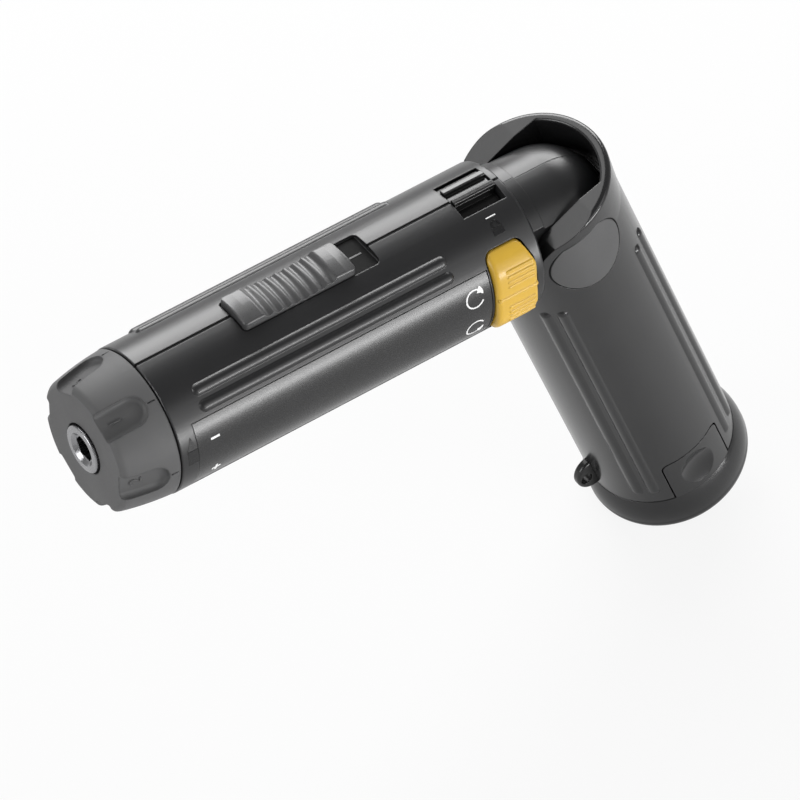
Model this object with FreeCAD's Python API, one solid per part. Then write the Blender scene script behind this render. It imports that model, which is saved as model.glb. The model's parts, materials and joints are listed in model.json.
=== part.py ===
import FreeCAD, Part
import math
import os

# Folding battery screwdriver: a round barrel with a planetary drive, hinged in the hood of a battery handle.
# Barrel pieces are drawn with X along the barrel, zero at the hinge and Z up. Handle pieces are drawn with Z
# along the handle, zero at the hinge and X to the handle's front, and then leaned back. Angles round an axis
# run from the top (or the handle's front) towards the tool's left. Everything is finally moved so that the
# origin is the centre of the bit socket's mouth. Millimetres and degrees.

Vector = FreeCAD.Vector
ORIGIN = Vector(0, 0, 0)
ALONG = Vector(1, 0, 0)
LEFT = Vector(0, 1, 0)
UP = Vector(0, 0, 1)
FULL_TURN = 360
QUARTER_TURN = 90
HALF_SHARE = 0.5

# Overall
HANDLE_LEAN_ANGLE = 20.0
CUT_OVERRUN = 1.0
FAR = 200.0
SLIDE_GAP = 0.3
SEAT_GAP = 0.05
RUNNING_FIT = 0.05
PRESS_GAP = 0.02

# Barrel housing
BARREL_R = 20.0
BARREL_WALL = 2.4
BARREL_REAR = 13.7
BARREL_LENGTH = 109.9
BARREL_EDGE = 0.8
BARREL_FRONT_EDGE = 0.4
REAR_WALL = 2.2
SPLIT_GAP = 0.04
SEAM_WIDTH = 0.8
SEAM_DEPTH = 0.8
COLLAR_GAP = 0.4
COLLAR_LENGTH = 4.3
NECK_STEP = 0.6
NECK_BORE_WALL = 5.8
NECK_BORE_TAIL = 6.0
BEAD_HEIGHT = 0.4
BEAD_WIDTH = 0.8
BEAD_INSET = 0.4
MOTOR_RIB_REAR_INSET = 3.0
MOTOR_RIB_FRONT_INSET = 5.2
MOTOR_RIB_WIDTH = 2.0
CASE_RIB_INSET = 5.5
CASE_RIB_WIDTH = 2.5

# Raised ribs on barrel and handle
RIB_R = 2.0
RIB_HEIGHT = 0.75
BARREL_RIB_REAR_INSET = 26.7
BARREL_RIB_FRONT_INSET = 10.0
BARREL_RIB_ANGLES = (37.5, 50.0)

# Housing screws: places along the barrel from their neighbours, and depths in from the bore
SCREW_BEHIND_CAP = 1.1
SCREW_BEHIND_CAP_DEPTH = 3.2
SCREW_FROM_CAN_FRONT = 9.2
SCREW_FROM_CAN_FRONT_DEPTH = 2.3
SCREW_PAST_CASE = 5.0
SCREW_PAST_CASE_DEPTH = 1.2
BOSS_R = 2.0
SCREW_R = 0.95
SCREW_FIT = 0.05
SCREW_CLEAR_R = 1.2
SCREW_HEAD_R = 1.8
SCREW_HEAD_H = 1.6
SCREW_HEAD_Y = 6.5
SCREW_TIP_Y = 6.0
SCREW_RECESS_R = 0.8
SCREW_RECESS_DEPTH = 0.9
BOSS_LEFT_Y = 8.0

# Side label
LABEL_ROCKER_GAP = 0.9
LABEL_FRONT_INSET = 5.0
LABEL_ANGLES = (58.0, 124.0)
LABEL_SETBACK = 0.12
LABEL_THICKNESS = 0.4
LABEL_EDGE_GAP = 0.15
LABEL_EDGE_ANGLE = 0.5

# Speed slider and its slot
SLOT_FRONT_INSET = 28.4
SLOT_HALF_WIDTH = 5.9
SLOT_DEPTH = 1.6
SLOT_CORNER = 1.4
SLIDER_LENGTH = 33.5
SLIDER_END_GAP = 0.45
SLIDER_RISE = 2.0
SLIDER_EDGE = 0.8
SLIDER_END_SLOPE = 1.6
SLIDER_SPREAD_ANGLE = 24.0
SLIDER_RIPPLES = 7
RIPPLE_SPAN_SHARE = 0.764
RIPPLE_DEPTH = 0.6
SLIDER_DIP = 1.2
SLIDER_DIP_SHARE = 0.364
SPEED_TRAVEL = 6.8

# Shift fork
FORK_HALF_WIDTH = 2.5
FORK_ARM_T = 0.5
FORK_STEM_T = 2.0
FORK_STEM_BITE = 1.4

# Lock slider
LOCK_SLOT_LENGTH = 13.0
LOCK_SLOT_FAR_GAP = 0.2
LOCK_SLOT_NEAR_GAP = 0.6
LOCK_RISE = 0.7
LOCK_ANGLES = (-19.5, 4.8)
LOCK_TRAVEL_ANGLE = 10.0
LOCK_RIB_ANGLES = ((-13.4, -8.0), (-0.6, 4.4))
LOCK_RIB_SLOPE_ANGLE = 0.8
LOCK_RIB_DEPTH = 1.3
LOCK_RIB_EDGE = 0.4
LOCK_PLATE_ANGLES = (-38.0, 15.5)
LOCK_PLATE_T = 1.2
LOCK_PLATE_GAP = 0.2

# Rocker
ROCKER_ANGLE = 85.0
ROCKER_SPREAD_ANGLE = 37.5
ROCKER_INSET = 0.6
ROCKER_LENGTH = 12.6
ROCKER_RISE = 2.0
ROCKER_CREST_ANGLE = 20.0
ROCKER_SADDLE = 0.9
ROCKER_END_ANGLE = 40.0
ROCKER_END_DROP = 0.7
ROCKER_EDGE = 1.4
ROCKER_SKIRT_DEPTH = 1.6
ROCKER_RIDGE_R = 0.7
ROCKER_RIDGE_HEIGHT = 0.35
ROCKER_RIDGE_INSET = 0.9
ROCKER_RIB_R = 0.45
ROCKER_RIB_HEIGHT = 0.3
ROCKER_RIBS = 4
ROCKER_RIB_FIRST_ANGLE = 9.0
ROCKER_RIB_STEP_ANGLE = 4.0
ROCKER_RIB_REAR_INSET = 1.6
ROCKER_RIB_FRONT_INSET = 3.6
ROCKER_CORNER_X = 2.3
ROCKER_CORNER_T = 6.0
ROCKER_CORNER_R = 2.4
ROCKER_PIVOT_INSET = 4.6
ROCKER_PIN_R = 1.0
ROCKER_BOSS_R = 2.0
ROCKER_WEB_LENGTH = 4.0
ROCKER_WEB_HALF = 1.6
ROCKER_TIP_GAP = 0.5
ROCKER_OPENING_DROP = 4.0

# Switch
SWITCH_END_INSET = 0.65
SWITCH_INNER_Y = 0.5
SWITCH_BOSS_GAP = 0.6
SWITCH_HALF_HEIGHT = 7.5
SWITCH_EAR_T = 2.0
SWITCH_EAR_HALF = 2.4

# Torque dial
DIAL_GAP = 0.2
DIAL_LENGTH = 15.4
DIAL_INSET = 0.2
DIAL_REAR_EDGE = 0.4
DIAL_MID_SHARE = 0.4675
DIAL_MID_DROP = 0.7
DIAL_SHOULDER_SHARE = 0.883
DIAL_SHOULDER_DROP = 1.9
DIAL_CORNER_SHARE = 0.9675
DIAL_CORNER_DROP = 2.6
DIAL_FACE_DROP = 3.4
DIAL_RECESSES = 6
DIAL_RECESS_ANGLE = 30.0
RECESS_INSET = 3.0
RECESS_HALF_WIDTH = 3.9
RECESS_FACE_DROP = 4.7
RECESS_REAR_DROP = 1.8
RECESS_DEPTH = 8.0
RECESS_ROUND = 1.3
SPIGOT_LENGTH = 3.9
SPIGOT_SHARE = 0.886
SPIGOT_WALL = 1.0
DIAL_CAVITY_WALL = 5.7
DIAL_NOSE_WALL = 2.5
DIAL_HOLE_R = 7.0
DIAL_KEYS = 3
DIAL_KEY_HALF = 1.5
DIAL_KEY_SHARE = 0.275
DIAL_KEY_INSET = 1.1

# Spindle with its hexagon socket
SPINDLE_R = 5.5
SPINDLE_HEAD_R = 6.5
SPINDLE_PROUD = 0.8
SPINDLE_EDGE = 0.4
SPINDLE_STUB_R = 4.0
HEX_ACROSS = 6.4
HEX_SIDES = 6
HEX_CORNER_ANGLE = 30.0
HEX_DEPTH = 16.0
MOUTH_CONE_R = 4.6
MOUTH_CONE_DEPTH = 1.0
MAGNET_R = 2.8
MAGNET_LENGTH = 3.0
BUSH_REAR_INSET = 0.5
BUSH_REAR_LENGTH = 6.0
BUSH_FRONT_INSET = 0.4
BUSH_FRONT_LENGTH = 9.0

# Gear case
CASE_SETBACK = 15.1
CASE_GAP = 1.2
CASE_WIDE_WALL = 1.2
CASE_WALL = 2.0
CASE_FRONT_WALL = 3.0
CASE_REAR_GAP = 0.5
NOSE_SHARE = 0.42
NOSE_BORE_SHARE = 0.57
FORK_SLOT_END_GAP = 0.6
FORK_SLOT_SIDE_GAP = 0.5

# Gears
RING_GAP = 0.2
RING_RIM = 2.2
PRESSURE_ANGLE = 20.0
SUN_TEETH = 12
PLANET_TEETH = 18
RING_TEETH = 48
PLANETS = 3
ADDENDUM_SHARE = 0.8
DEDENDUM_SHARE = 1.25
BACKLASH = 0.12
FLANK_STEPS = 4
PLANET_PIN_R = 1.5
PINION_LENGTH = 7.6
PINION_GAP = 0.4
PLANET_ONE_LENGTH = 6.5
PLANET_ONE_GAP = 0.6
PLANET_TWO_LENGTH = 5.3
PLANET_TWO_GAP = 0.5
CARRIER_ONE_T = 2.0
CARRIER_ONE_INSET = 2.5
CARRIER_ONE_RIM = 1.2
SUN_TWO_GAP = 0.6
CARRIER_TWO_T = 1.9
CARRIER_TWO_RIM = 1.0
PIN_PLATE_T = 2.5
PIN_PLATE_SPACE = 2.4
PIN_PLATE_GAP = 0.4
SUN_HOLE_GAP = 1.0
SHIFT_RING_LENGTH = 13.0
SHIFT_RING_SPACE = 1.0
SHIFT_GROOVE_INSET = 3.9
SHIFT_GROOVE_WIDTH = 2.6
SHIFT_GROOVE_DEPTH = 0.8
DOGS = 6
DOG_LENGTH = 2.5
DOG_GAP = 0.2
DOG_SPREAD_ANGLE = 6.0
DOG_NOTCH_SPREAD_ANGLE = 8.0
DOG_NOTCH_GAP = 0.7
DOG_STEP_GAP = 0.6
OUTPUT_RING_LENGTH = 8.7
BUMP_HEIGHT = 0.9
BUMP_INSET = 0.1
BUMP_BALL_OFFSET = 0.5
BUMP_SPREAD_ANGLE = 6.0

# Clutch
BALLS = 6
BALL_R = 1.75
BALL_FIT = 0.05
BALL_CIRCLE_INSET = 3.1
BALL_SETBACK = 1.5
WASHER_T = 1.2
WASHER_SHARE = 0.915
WASHER_BORE_SHARE = 0.24
SPRING_PLACE_SHARE = 0.6
SPRING_WIRE_R = 0.6
SPRING_TURNS = 4
SPRING_END_GAP = 0.15
NUT_LENGTH = 5.7
NUT_INSET = 0.4
NUT_FIT = 0.1
NUT_NOTCH_GAP = 0.15

# Motor
MOTOR_ROOM = 5.4
MOTOR_FIT = 0.1
MOTOR_SWITCH_GAP = 7.1
END_CAP_T = 2.4
CAN_WALL = 0.8
BEARING_R = 3.0
BEARING_LENGTH = 3.0
SHAFT_R = 1.15
SHAFT_TAIL = 1.0
ARMATURE_INSET = 3.2
ARMATURE_END_GAP = 1.0
ARMATURE_POLES = 3
ARMATURE_SLOT_HALF = 0.8
ARMATURE_CORE_R = 4.0
WINDING_STEP = 1.0
WINDING_LENGTH = 2.6
WINDING_GAP = 0.4
COMMUTATOR_R = 3.2
COMMUTATOR_INSET = 1.0
COMMUTATOR_LENGTH = 4.5
MAGNET_GAP = 0.8
MAGNET_SPREAD_ANGLE = 62.0
MAGNET_SEAT_GAP = 0.05
TERMINAL_INSET = 3.7
TERMINAL_TAIL = 5.1
TERMINAL_HALF_WIDTH = 1.2
TERMINAL_HALF_T = 0.25
MOTOR_PLATE_T = 1.8
MOTOR_PLATE_GAP = 0.2
MOTOR_SCREW_INSET = 3.7
MOTOR_SCREW_R = 1.2
MOTOR_SCREW_LENGTH = 4.2
MOTOR_SCREW_HEAD_R = 2.1
MOTOR_SCREW_HEAD_H = 1.3

# Handle
HANDLE_R = 20.3
HANDLE_WALL = 2.4
HANDLE_LENGTH = 115.9
RIM_UP = 13.4
HOOD_FLARE = 0.4
HOOD_SHIFT = 0.5
HOOD_WALL = 2.6
HOOD_RIM_WALL = 2.0
RIM_EDGE = 1.3
RIM_INNER_EDGE = 0.7
KNUCKLE_GAP = 0.4
EAR_THICKNESS = 6.7
EAR_GAP = 0.3
NECK_OPENING_GAP = 0.3
EAR_CUT_ANGLE = 80.3
EAR_CUT_DISTANCE = 12.2
EAR_R = 13.2
BARREL_GAP = 0.4
UPPER_FLOOR_DROP = 22.0
CEILING_DROP = 44.0
FLOOR_T = 3.0
WIRE_HOLE_R = 3.0
WIRE_HOLE_SETBACK = 6.0
HANDLE_RIB_DROP = 18.3
HANDLE_RIB_SEAM_GAP = 5.9
HANDLE_RIB_ANGLES = (40.2, 53.0, 130.5, 144.5)

# Hinge
PIVOT_R = 4.0
PIVOT_BITE = 4.3
PIVOT_HEAD_R = 6.0
PIVOT_HEAD_T = 1.3
PIVOT_HEAD_GAP = 0.2
FRICTION_WASHER_R = 8.0
FRICTION_WASHER_T = 0.9
CAP_R = 10.5
CAP_GAP = 0.4
CAP_CHORD = 8.9
CAP_DEPTH = 1.6
CAP_PROUD = 0.15

# Strap eyelet
EYELET_R = 5.0
EYELET_OUT = 0.3
EYELET_SEAM_GAP = 7.6
EYELET_HALF_T = 1.3
EYELET_EDGE = 0.8
EYELET_HOLE_R = 1.75
EYELET_HOLE_OUT = 2.6
EYELET_STUD_R = 1.1
EYELET_STUD_LENGTH = 2.2
EYELET_STUD_BITE = 0.06

# Battery
BASE_SEAM_GAP = 0.35
BASE_BULGE = 1.4
BASE_BULGE_DROP = 4.3
BASE_FLARE = 1.7
BASE_FLARE_DROP = 8.3
BASE_ROUND = 1.0
BASE_ROUND_DROP = 11.0
BASE_FOOT_INSET = 0.9
BASE_HEIGHT = 12.1
LUG_FRONT = 8.3
LUG_TAIL = 10.0
LUG_HEIGHT = 15.6
LUG_CORNER = 2.2
LUG_GAP = 0.35
LUG_WALL = 2.1
SCOOP_R = 14.0
SCOOP_DEPTH = 1.65
SCOOP_HEIGHT = 7.6
SCOOP_SETBACK = 0.8
SCOOP_TILT_ANGLE = 22.0
SCOOP_LENGTH = 20.0
CASE_TUBE_GAP = 0.7
CASE_TUBE_WALL = 1.3
CASE_TUBE_SPACE = 7.0
CASE_TUBE_FOOT = 3.6
CASE_TUBE_LID = 1.6
CAP_HOLLOW_GAP = 0.1
CELLS = 3
CELL_SIDE_GAP = 0.3
CELL_SPACE = 0.15
CELL_NUB_R = 2.6
CELL_NUB_H = 0.8
CELL_END_GAP = 0.2
CELL_TOP_GAP = 1.8
CONTACT_HALF_X = 2.5
CONTACT_HALF_Y = 2.0
CONTACT_Y = 6.0
CONTACT_T = 0.4
BLOCK_HALF_X = 6.0
BLOCK_HALF_Y = 11.0
BLOCK_HEIGHT = 3.5
BLADE_HALF_X = 1.5
BLADE_T = 0.5
BLADE_GAP = 0.1
BLADE_BITE = 1.0

# Radii of barrel and hinge that follow from the sizes above
BORE_R = BARREL_R - BARREL_WALL
CHAMBER_R = HANDLE_R - HANDLE_WALL
CAVITY_R = HANDLE_R - HOOD_WALL
COLLAR_R = CAVITY_R - COLLAR_GAP
NECK_R = COLLAR_R - NECK_STEP
EAR_INNER_Y = HANDLE_R - EAR_THICKNESS
NECK_HALF_WIDTH = EAR_INNER_Y - EAR_GAP
NECK_BORE_R = NECK_HALF_WIDTH - NECK_BORE_WALL
PIVOT_TIP_Y = NECK_HALF_WIDTH - PIVOT_BITE
PIVOT_HEAD_OUTER_Y = math.sqrt((HANDLE_R - CAP_DEPTH) ** 2 - PIVOT_HEAD_R ** 2) - PIVOT_HEAD_GAP
PIVOT_HEAD_INNER_Y = PIVOT_HEAD_OUTER_Y - PIVOT_HEAD_T
SLOT_FLOOR = BARREL_R - SLOT_DEPTH
SLIDER_R = BARREL_R + SLIDER_RISE
LOCK_R = BARREL_R + LOCK_RISE
LOCK_SLOT_FAR_Y = LOCK_R * math.sin(math.radians(LOCK_ANGLES[0])) - LOCK_SLOT_FAR_GAP
LOCK_SLOT_NEAR_Y = LOCK_R * math.sin(math.radians(LOCK_ANGLES[1] + LOCK_TRAVEL_ANGLE)) + LOCK_SLOT_NEAR_GAP
ROCKER_R = BARREL_R + ROCKER_RISE
ROCKER_END_R = BARREL_R - ROCKER_END_DROP
ROCKER_REACH = BARREL_R * math.sin(math.radians(ROCKER_SPREAD_ANGLE))
ROCKER_SKIRT_R = BARREL_R - ROCKER_SKIRT_DEPTH
ROCKER_PIVOT_R = BORE_R - ROCKER_PIVOT_INSET
ROCKER_OPENING_FLOOR = ROCKER_PIVOT_R - ROCKER_OPENING_DROP
SWITCH_OUTER_Y = ROCKER_PIVOT_R - ROCKER_BOSS_R - SWITCH_BOSS_GAP
SWITCH_EAR_TOP = ROCKER_PIVOT_R + SWITCH_EAR_HALF

# Radii of the dial, gears, clutch and motor
DIAL_REAR_R = BARREL_R - DIAL_INSET
DIAL_MID_R = DIAL_REAR_R - DIAL_MID_DROP
DIAL_SHOULDER_R = DIAL_REAR_R - DIAL_SHOULDER_DROP
DIAL_CORNER_R = DIAL_REAR_R - DIAL_CORNER_DROP
DIAL_FACE_R = DIAL_REAR_R - DIAL_FACE_DROP
RECESS_FACE_FLOOR = DIAL_REAR_R - RECESS_FACE_DROP
RECESS_REAR_FLOOR = DIAL_REAR_R - RECESS_REAR_DROP
SPIGOT_R = BORE_R * SPIGOT_SHARE
LIP_R = SPIGOT_R + RUNNING_FIT
DIAL_CAVITY_R = SPIGOT_R - SPIGOT_WALL
HEX_CORNER_R = HEX_ACROSS * HALF_SHARE / math.cos(math.pi / HEX_SIDES)
NUT_R = DIAL_CAVITY_R - SLIDE_GAP
NOSE_R = SPINDLE_R + (NUT_R - SPINDLE_R) * NOSE_SHARE
NOSE_BORE_R = SPINDLE_R + (NOSE_R - SPINDLE_R) * NOSE_BORE_SHARE
DIAL_KEY_R = NUT_R - (NUT_R - NOSE_R) * DIAL_KEY_SHARE
CASE_R = BORE_R - CASE_GAP
CASE_WIDE_R = CASE_R - CASE_WIDE_WALL
CASE_BORE_R = CASE_R - CASE_WALL
RING_R = CASE_BORE_R - RING_GAP
MODULE = (RING_R - RING_RIM) / RING_TEETH / HALF_SHARE
PITCH_RADII = {teeth: MODULE * teeth * HALF_SHARE for teeth in (SUN_TEETH, PLANET_TEETH, RING_TEETH)}
SUN_HOLE_R = PITCH_RADII[SUN_TEETH] + ADDENDUM_SHARE * MODULE + SUN_HOLE_GAP
CARRIER_PIN_R = PITCH_RADII[SUN_TEETH] + PITCH_RADII[PLANET_TEETH]
CARRIER_ONE_R = CARRIER_PIN_R + PLANET_PIN_R + CARRIER_ONE_RIM
CARRIER_TWO_R = CARRIER_PIN_R + PLANET_PIN_R + CARRIER_TWO_RIM
PIN_PLATE_R = PITCH_RADII[RING_TEETH] - ADDENDUM_SHARE * MODULE - PIN_PLATE_GAP
SHIFT_GROOVE_R = RING_R - SHIFT_GROOVE_DEPTH
DOG_R = CASE_WIDE_R - DOG_GAP
FORK_ARM_LOW = CASE_R + SLIDE_GAP
FORK_ARM_HIGH = FORK_ARM_LOW + FORK_ARM_T
FORK_STEM_TOP = SLOT_FLOOR + FORK_STEM_BITE
FORK_FINGER_LOW = SHIFT_GROOVE_R + SLIDE_GAP
FORK_SLOT_HALF = FORK_HALF_WIDTH + FORK_SLOT_SIDE_GAP
BALL_CIRCLE_R = CASE_R - BALL_CIRCLE_INSET
BUMP_INNER_R = BALL_CIRCLE_R - BUMP_BALL_OFFSET
BUMP_OUTER_R = RING_R - BUMP_INSET
CASE_RECESS_R = (NOSE_BORE_R + BUMP_INNER_R) * HALF_SHARE
WASHER_R = CASE_R * WASHER_SHARE
WASHER_BORE_R = NOSE_R + (WASHER_R - NOSE_R) * WASHER_BORE_SHARE
SPRING_R = NOSE_R + (NUT_R - NOSE_R) * SPRING_PLACE_SHARE
MOTOR_R = BORE_R - MOTOR_ROOM
ARMATURE_R = MOTOR_R - CAN_WALL - ARMATURE_INSET
WINDING_R = ARMATURE_R - WINDING_STEP
TERMINAL_Y = MOTOR_R - TERMINAL_INSET
MOTOR_SCREW_PLACE = MOTOR_R - MOTOR_SCREW_INSET

# Places along the barrel, from the hinge forwards
BARREL_FRONT = BARREL_REAR + BARREL_LENGTH
HOLLOW_REAR = BARREL_REAR + REAR_WALL
COLLAR_REAR = BARREL_REAR - COLLAR_LENGTH
LOCK_SLOT_REAR = HOLLOW_REAR
LOCK_SLOT_FRONT = LOCK_SLOT_REAR + LOCK_SLOT_LENGTH
ROCKER_REAR = HOLLOW_REAR + ROCKER_INSET
ROCKER_FRONT = ROCKER_REAR + ROCKER_LENGTH
ROCKER_WEB_REAR = (ROCKER_REAR + ROCKER_FRONT - ROCKER_WEB_LENGTH) * HALF_SHARE
ROCKER_WEB_FRONT = ROCKER_WEB_REAR + ROCKER_WEB_LENGTH
SWITCH_REAR = ROCKER_REAR + SWITCH_END_INSET
SWITCH_FRONT = ROCKER_FRONT - SWITCH_END_INSET
LABEL_REAR = ROCKER_FRONT + LABEL_ROCKER_GAP
LABEL_FRONT = BARREL_FRONT - LABEL_FRONT_INSET
BARREL_RIB_REAR = BARREL_REAR + BARREL_RIB_REAR_INSET
BARREL_RIB_FRONT = BARREL_FRONT - BARREL_RIB_FRONT_INSET
SLOT_FRONT = BARREL_FRONT - SLOT_FRONT_INSET
SLIDER_FRONT = SLOT_FRONT - SLIDER_END_GAP
SLIDER_REAR = SLIDER_FRONT - SLIDER_LENGTH
SLIDER_MIDDLE = (SLIDER_REAR + SLIDER_FRONT) * HALF_SHARE
SLIDER_DIP_HALF = SLIDER_LENGTH * SLIDER_DIP_SHARE
RIPPLE_PITCH = SLIDER_DIP_HALF * RIPPLE_SPAN_SHARE / SLIDER_RIPPLES / HALF_SHARE
SLOT_REAR = SLIDER_REAR - SPEED_TRAVEL - SLIDER_END_GAP

# Places of the dial, spindle, gears, clutch and motor along the barrel
DIAL_REAR = BARREL_FRONT + DIAL_GAP
DIAL_MID = DIAL_REAR + DIAL_LENGTH * DIAL_MID_SHARE
DIAL_SHOULDER = DIAL_REAR + DIAL_LENGTH * DIAL_SHOULDER_SHARE
DIAL_CORNER = DIAL_REAR + DIAL_LENGTH * DIAL_CORNER_SHARE
DIAL_FACE = DIAL_REAR + DIAL_LENGTH
RECESS_REAR = DIAL_REAR + RECESS_INSET
SPIGOT_REAR = DIAL_REAR - SPIGOT_LENGTH
LIP_REAR = SPIGOT_REAR - SLIDE_GAP
DIAL_KEY_REAR = SPIGOT_REAR + DIAL_KEY_INSET
DIAL_CAVITY_FRONT = DIAL_FACE - DIAL_CAVITY_WALL
DIAL_NOSE_STOP = DIAL_FACE - DIAL_NOSE_WALL
NOSE_FRONT = DIAL_NOSE_STOP - SLIDE_GAP
SOCKET_TO_HINGE = DIAL_FACE + SPINDLE_PROUD
SPINDLE_HEAD_REAR = NOSE_FRONT + SLIDE_GAP
HEX_FLOOR = SOCKET_TO_HINGE - HEX_DEPTH
CASE_FRONT = BARREL_FRONT - CASE_SETBACK
CASE_RIB_X = CASE_FRONT - CASE_RIB_INSET
BUSH_PLACES = ((CASE_FRONT - BUSH_REAR_INSET, CASE_FRONT - BUSH_REAR_INSET + BUSH_REAR_LENGTH),
               (NOSE_FRONT - BUSH_FRONT_INSET - BUSH_FRONT_LENGTH, NOSE_FRONT - BUSH_FRONT_INSET))
CASE_WALL_REAR = CASE_FRONT - CASE_FRONT_WALL
OUTPUT_RING_FRONT = CASE_WALL_REAR - SLIDE_GAP
OUTPUT_RING_REAR = OUTPUT_RING_FRONT - OUTPUT_RING_LENGTH
CASE_RECESS_FRONT = OUTPUT_RING_FRONT + BUMP_HEIGHT + SLIDE_GAP
CARRIER_TWO_FRONT = CASE_WALL_REAR - SLIDE_GAP
CARRIER_TWO_REAR = CARRIER_TWO_FRONT - CARRIER_TWO_T
SUN_TWO_FRONT = CARRIER_TWO_REAR - SUN_TWO_GAP
PLANET_TWO_FRONT = CARRIER_TWO_REAR - PLANET_TWO_GAP
PLANET_TWO_REAR = PLANET_TWO_FRONT - PLANET_TWO_LENGTH
PIN_TWO_REAR = PLANET_TWO_REAR - SLIDE_GAP
SHIFT_RING_FRONT = OUTPUT_RING_REAR - SHIFT_RING_SPACE
SHIFT_RING_REAR = SHIFT_RING_FRONT - SHIFT_RING_LENGTH
SHIFT_GROOVE_REAR = SHIFT_RING_REAR + SHIFT_GROOVE_INSET
SHIFT_GROOVE_FRONT = SHIFT_GROOVE_REAR + SHIFT_GROOVE_WIDTH
DOG_REAR = SHIFT_RING_FRONT - DOG_LENGTH
DOG_NOTCH_FRONT = SHIFT_RING_FRONT + DOG_NOTCH_GAP
CASE_STEP = DOG_REAR - DOG_STEP_GAP
CARRIER_ONE_FRONT = SHIFT_RING_FRONT - CARRIER_ONE_INSET
CARRIER_ONE_REAR = CARRIER_ONE_FRONT - CARRIER_ONE_T
PINION_FRONT = CARRIER_ONE_REAR - PINION_GAP
PINION_REAR = PINION_FRONT - PINION_LENGTH
PLANET_ONE_FRONT = CARRIER_ONE_REAR - PLANET_ONE_GAP
PLANET_ONE_REAR = PLANET_ONE_FRONT - PLANET_ONE_LENGTH
PIN_PLATE_FRONT = PLANET_ONE_REAR - PIN_PLATE_SPACE
PIN_PLATE_REAR = PIN_PLATE_FRONT - PIN_PLATE_T
FORK_STEM_REAR = SLIDER_MIDDLE - FORK_STEM_T * HALF_SHARE
FORK_STEM_FRONT = SLIDER_MIDDLE + FORK_STEM_T * HALF_SHARE
FORK_FINGER_REAR = SHIFT_GROOVE_REAR + SLIDE_GAP
FORK_FINGER_FRONT = SHIFT_GROOVE_FRONT - SLIDE_GAP
FORK_SLOT_REAR = FORK_FINGER_REAR - SPEED_TRAVEL - FORK_SLOT_END_GAP
FORK_SLOT_FRONT = FORK_FINGER_FRONT + FORK_SLOT_END_GAP
BALL_X = CASE_FRONT - BALL_SETBACK
WASHER_REAR = BALL_X + BALL_R + SEAT_GAP
WASHER_FRONT = WASHER_REAR + WASHER_T
NUT_REAR = SPIGOT_REAR + NUT_INSET
NUT_FRONT = NUT_REAR + NUT_LENGTH
CASE_REAR = SHIFT_RING_REAR - SPEED_TRAVEL - CASE_REAR_GAP
PLATE_REAR = CASE_REAR - MOTOR_PLATE_T
CAN_FRONT = PLATE_REAR - MOTOR_PLATE_GAP
END_CAP_REAR = SWITCH_FRONT + MOTOR_SWITCH_GAP
CAN_REAR = END_CAP_REAR + END_CAP_T
MOTOR_RIB_XS = (CAN_REAR + MOTOR_RIB_REAR_INSET, CAN_FRONT - MOTOR_RIB_FRONT_INSET)
SHAFT_REAR = END_CAP_REAR - SHAFT_TAIL
TERMINAL_REAR = END_CAP_REAR - TERMINAL_TAIL
COMMUTATOR_REAR = CAN_REAR + COMMUTATOR_INSET
COMMUTATOR_FRONT = COMMUTATOR_REAR + COMMUTATOR_LENGTH
ARMATURE_REAR = COMMUTATOR_FRONT + WINDING_GAP + WINDING_LENGTH
ARMATURE_FRONT = CAN_FRONT - BEARING_LENGTH - ARMATURE_END_GAP - WINDING_LENGTH
MOTOR_SCREW_TIP = CASE_REAR - MOTOR_SCREW_LENGTH
SCREW_PLACES = ((END_CAP_REAR - SCREW_BEHIND_CAP, SCREW_BEHIND_CAP_DEPTH - BORE_R),
                (CAN_FRONT - SCREW_FROM_CAN_FRONT, SCREW_FROM_CAN_FRONT_DEPTH - BORE_R),
                (CASE_FRONT + SCREW_PAST_CASE, SCREW_PAST_CASE_DEPTH - BORE_R))

# Places along the handle, from the hinge downwards, and sizes of the battery
HANDLE_SEAM = -HANDLE_LENGTH
UPPER_FLOOR = -UPPER_FLOOR_DROP
LOWER_CEILING = -CEILING_DROP
LOWER_FLOOR = LOWER_CEILING - FLOOR_T
WIRE_HOLE_X = -WIRE_HOLE_SETBACK
HANDLE_RIB_TOP = -HANDLE_RIB_DROP
HANDLE_RIB_LOW = HANDLE_SEAM + HANDLE_RIB_SEAM_GAP
EYELET_X = HANDLE_R + EYELET_OUT
EYELET_Z = HANDLE_SEAM + EYELET_SEAM_GAP
EYELET_HOLE_X = HANDLE_R + EYELET_HOLE_OUT
EYELET_STUD_INNER = HANDLE_R - EYELET_STUD_LENGTH
BASE_BULGE_R = HANDLE_R + BASE_BULGE
BASE_BULGE_Z = HANDLE_SEAM - BASE_BULGE_DROP
BASE_WIDE_R = HANDLE_R + BASE_FLARE
BASE_WIDE_Z = HANDLE_SEAM - BASE_FLARE_DROP
BASE_ROUND_R = HANDLE_R + BASE_ROUND
BASE_ROUND_Z = HANDLE_SEAM - BASE_ROUND_DROP
BASE_FOOT_R = HANDLE_R - BASE_FOOT_INSET
BASE_BOTTOM = HANDLE_SEAM - BASE_HEIGHT
LUG_REAR = -LUG_TAIL
LUG_TOP = HANDLE_SEAM + LUG_HEIGHT
SCOOP_X = -SCOOP_SETBACK
SCOOP_Z = HANDLE_SEAM + SCOOP_HEIGHT
CASE_TUBE_R = CHAMBER_R - CASE_TUBE_GAP
CASE_TUBE_TOP = LOWER_FLOOR - CASE_TUBE_SPACE
CASE_TUBE_LOW = BASE_BOTTOM + CASE_TUBE_FOOT
CELL_ROOM = CASE_TUBE_R - CASE_TUBE_WALL - CELL_SIDE_GAP
CELL_SPREAD_SHARE = math.sin(math.pi / CELLS)
CELL_R = (CELL_ROOM * CELL_SPREAD_SHARE - CELL_SPACE * HALF_SHARE) / (1 + CELL_SPREAD_SHARE)
CELL_CIRCLE_R = CELL_ROOM - CELL_R
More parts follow.
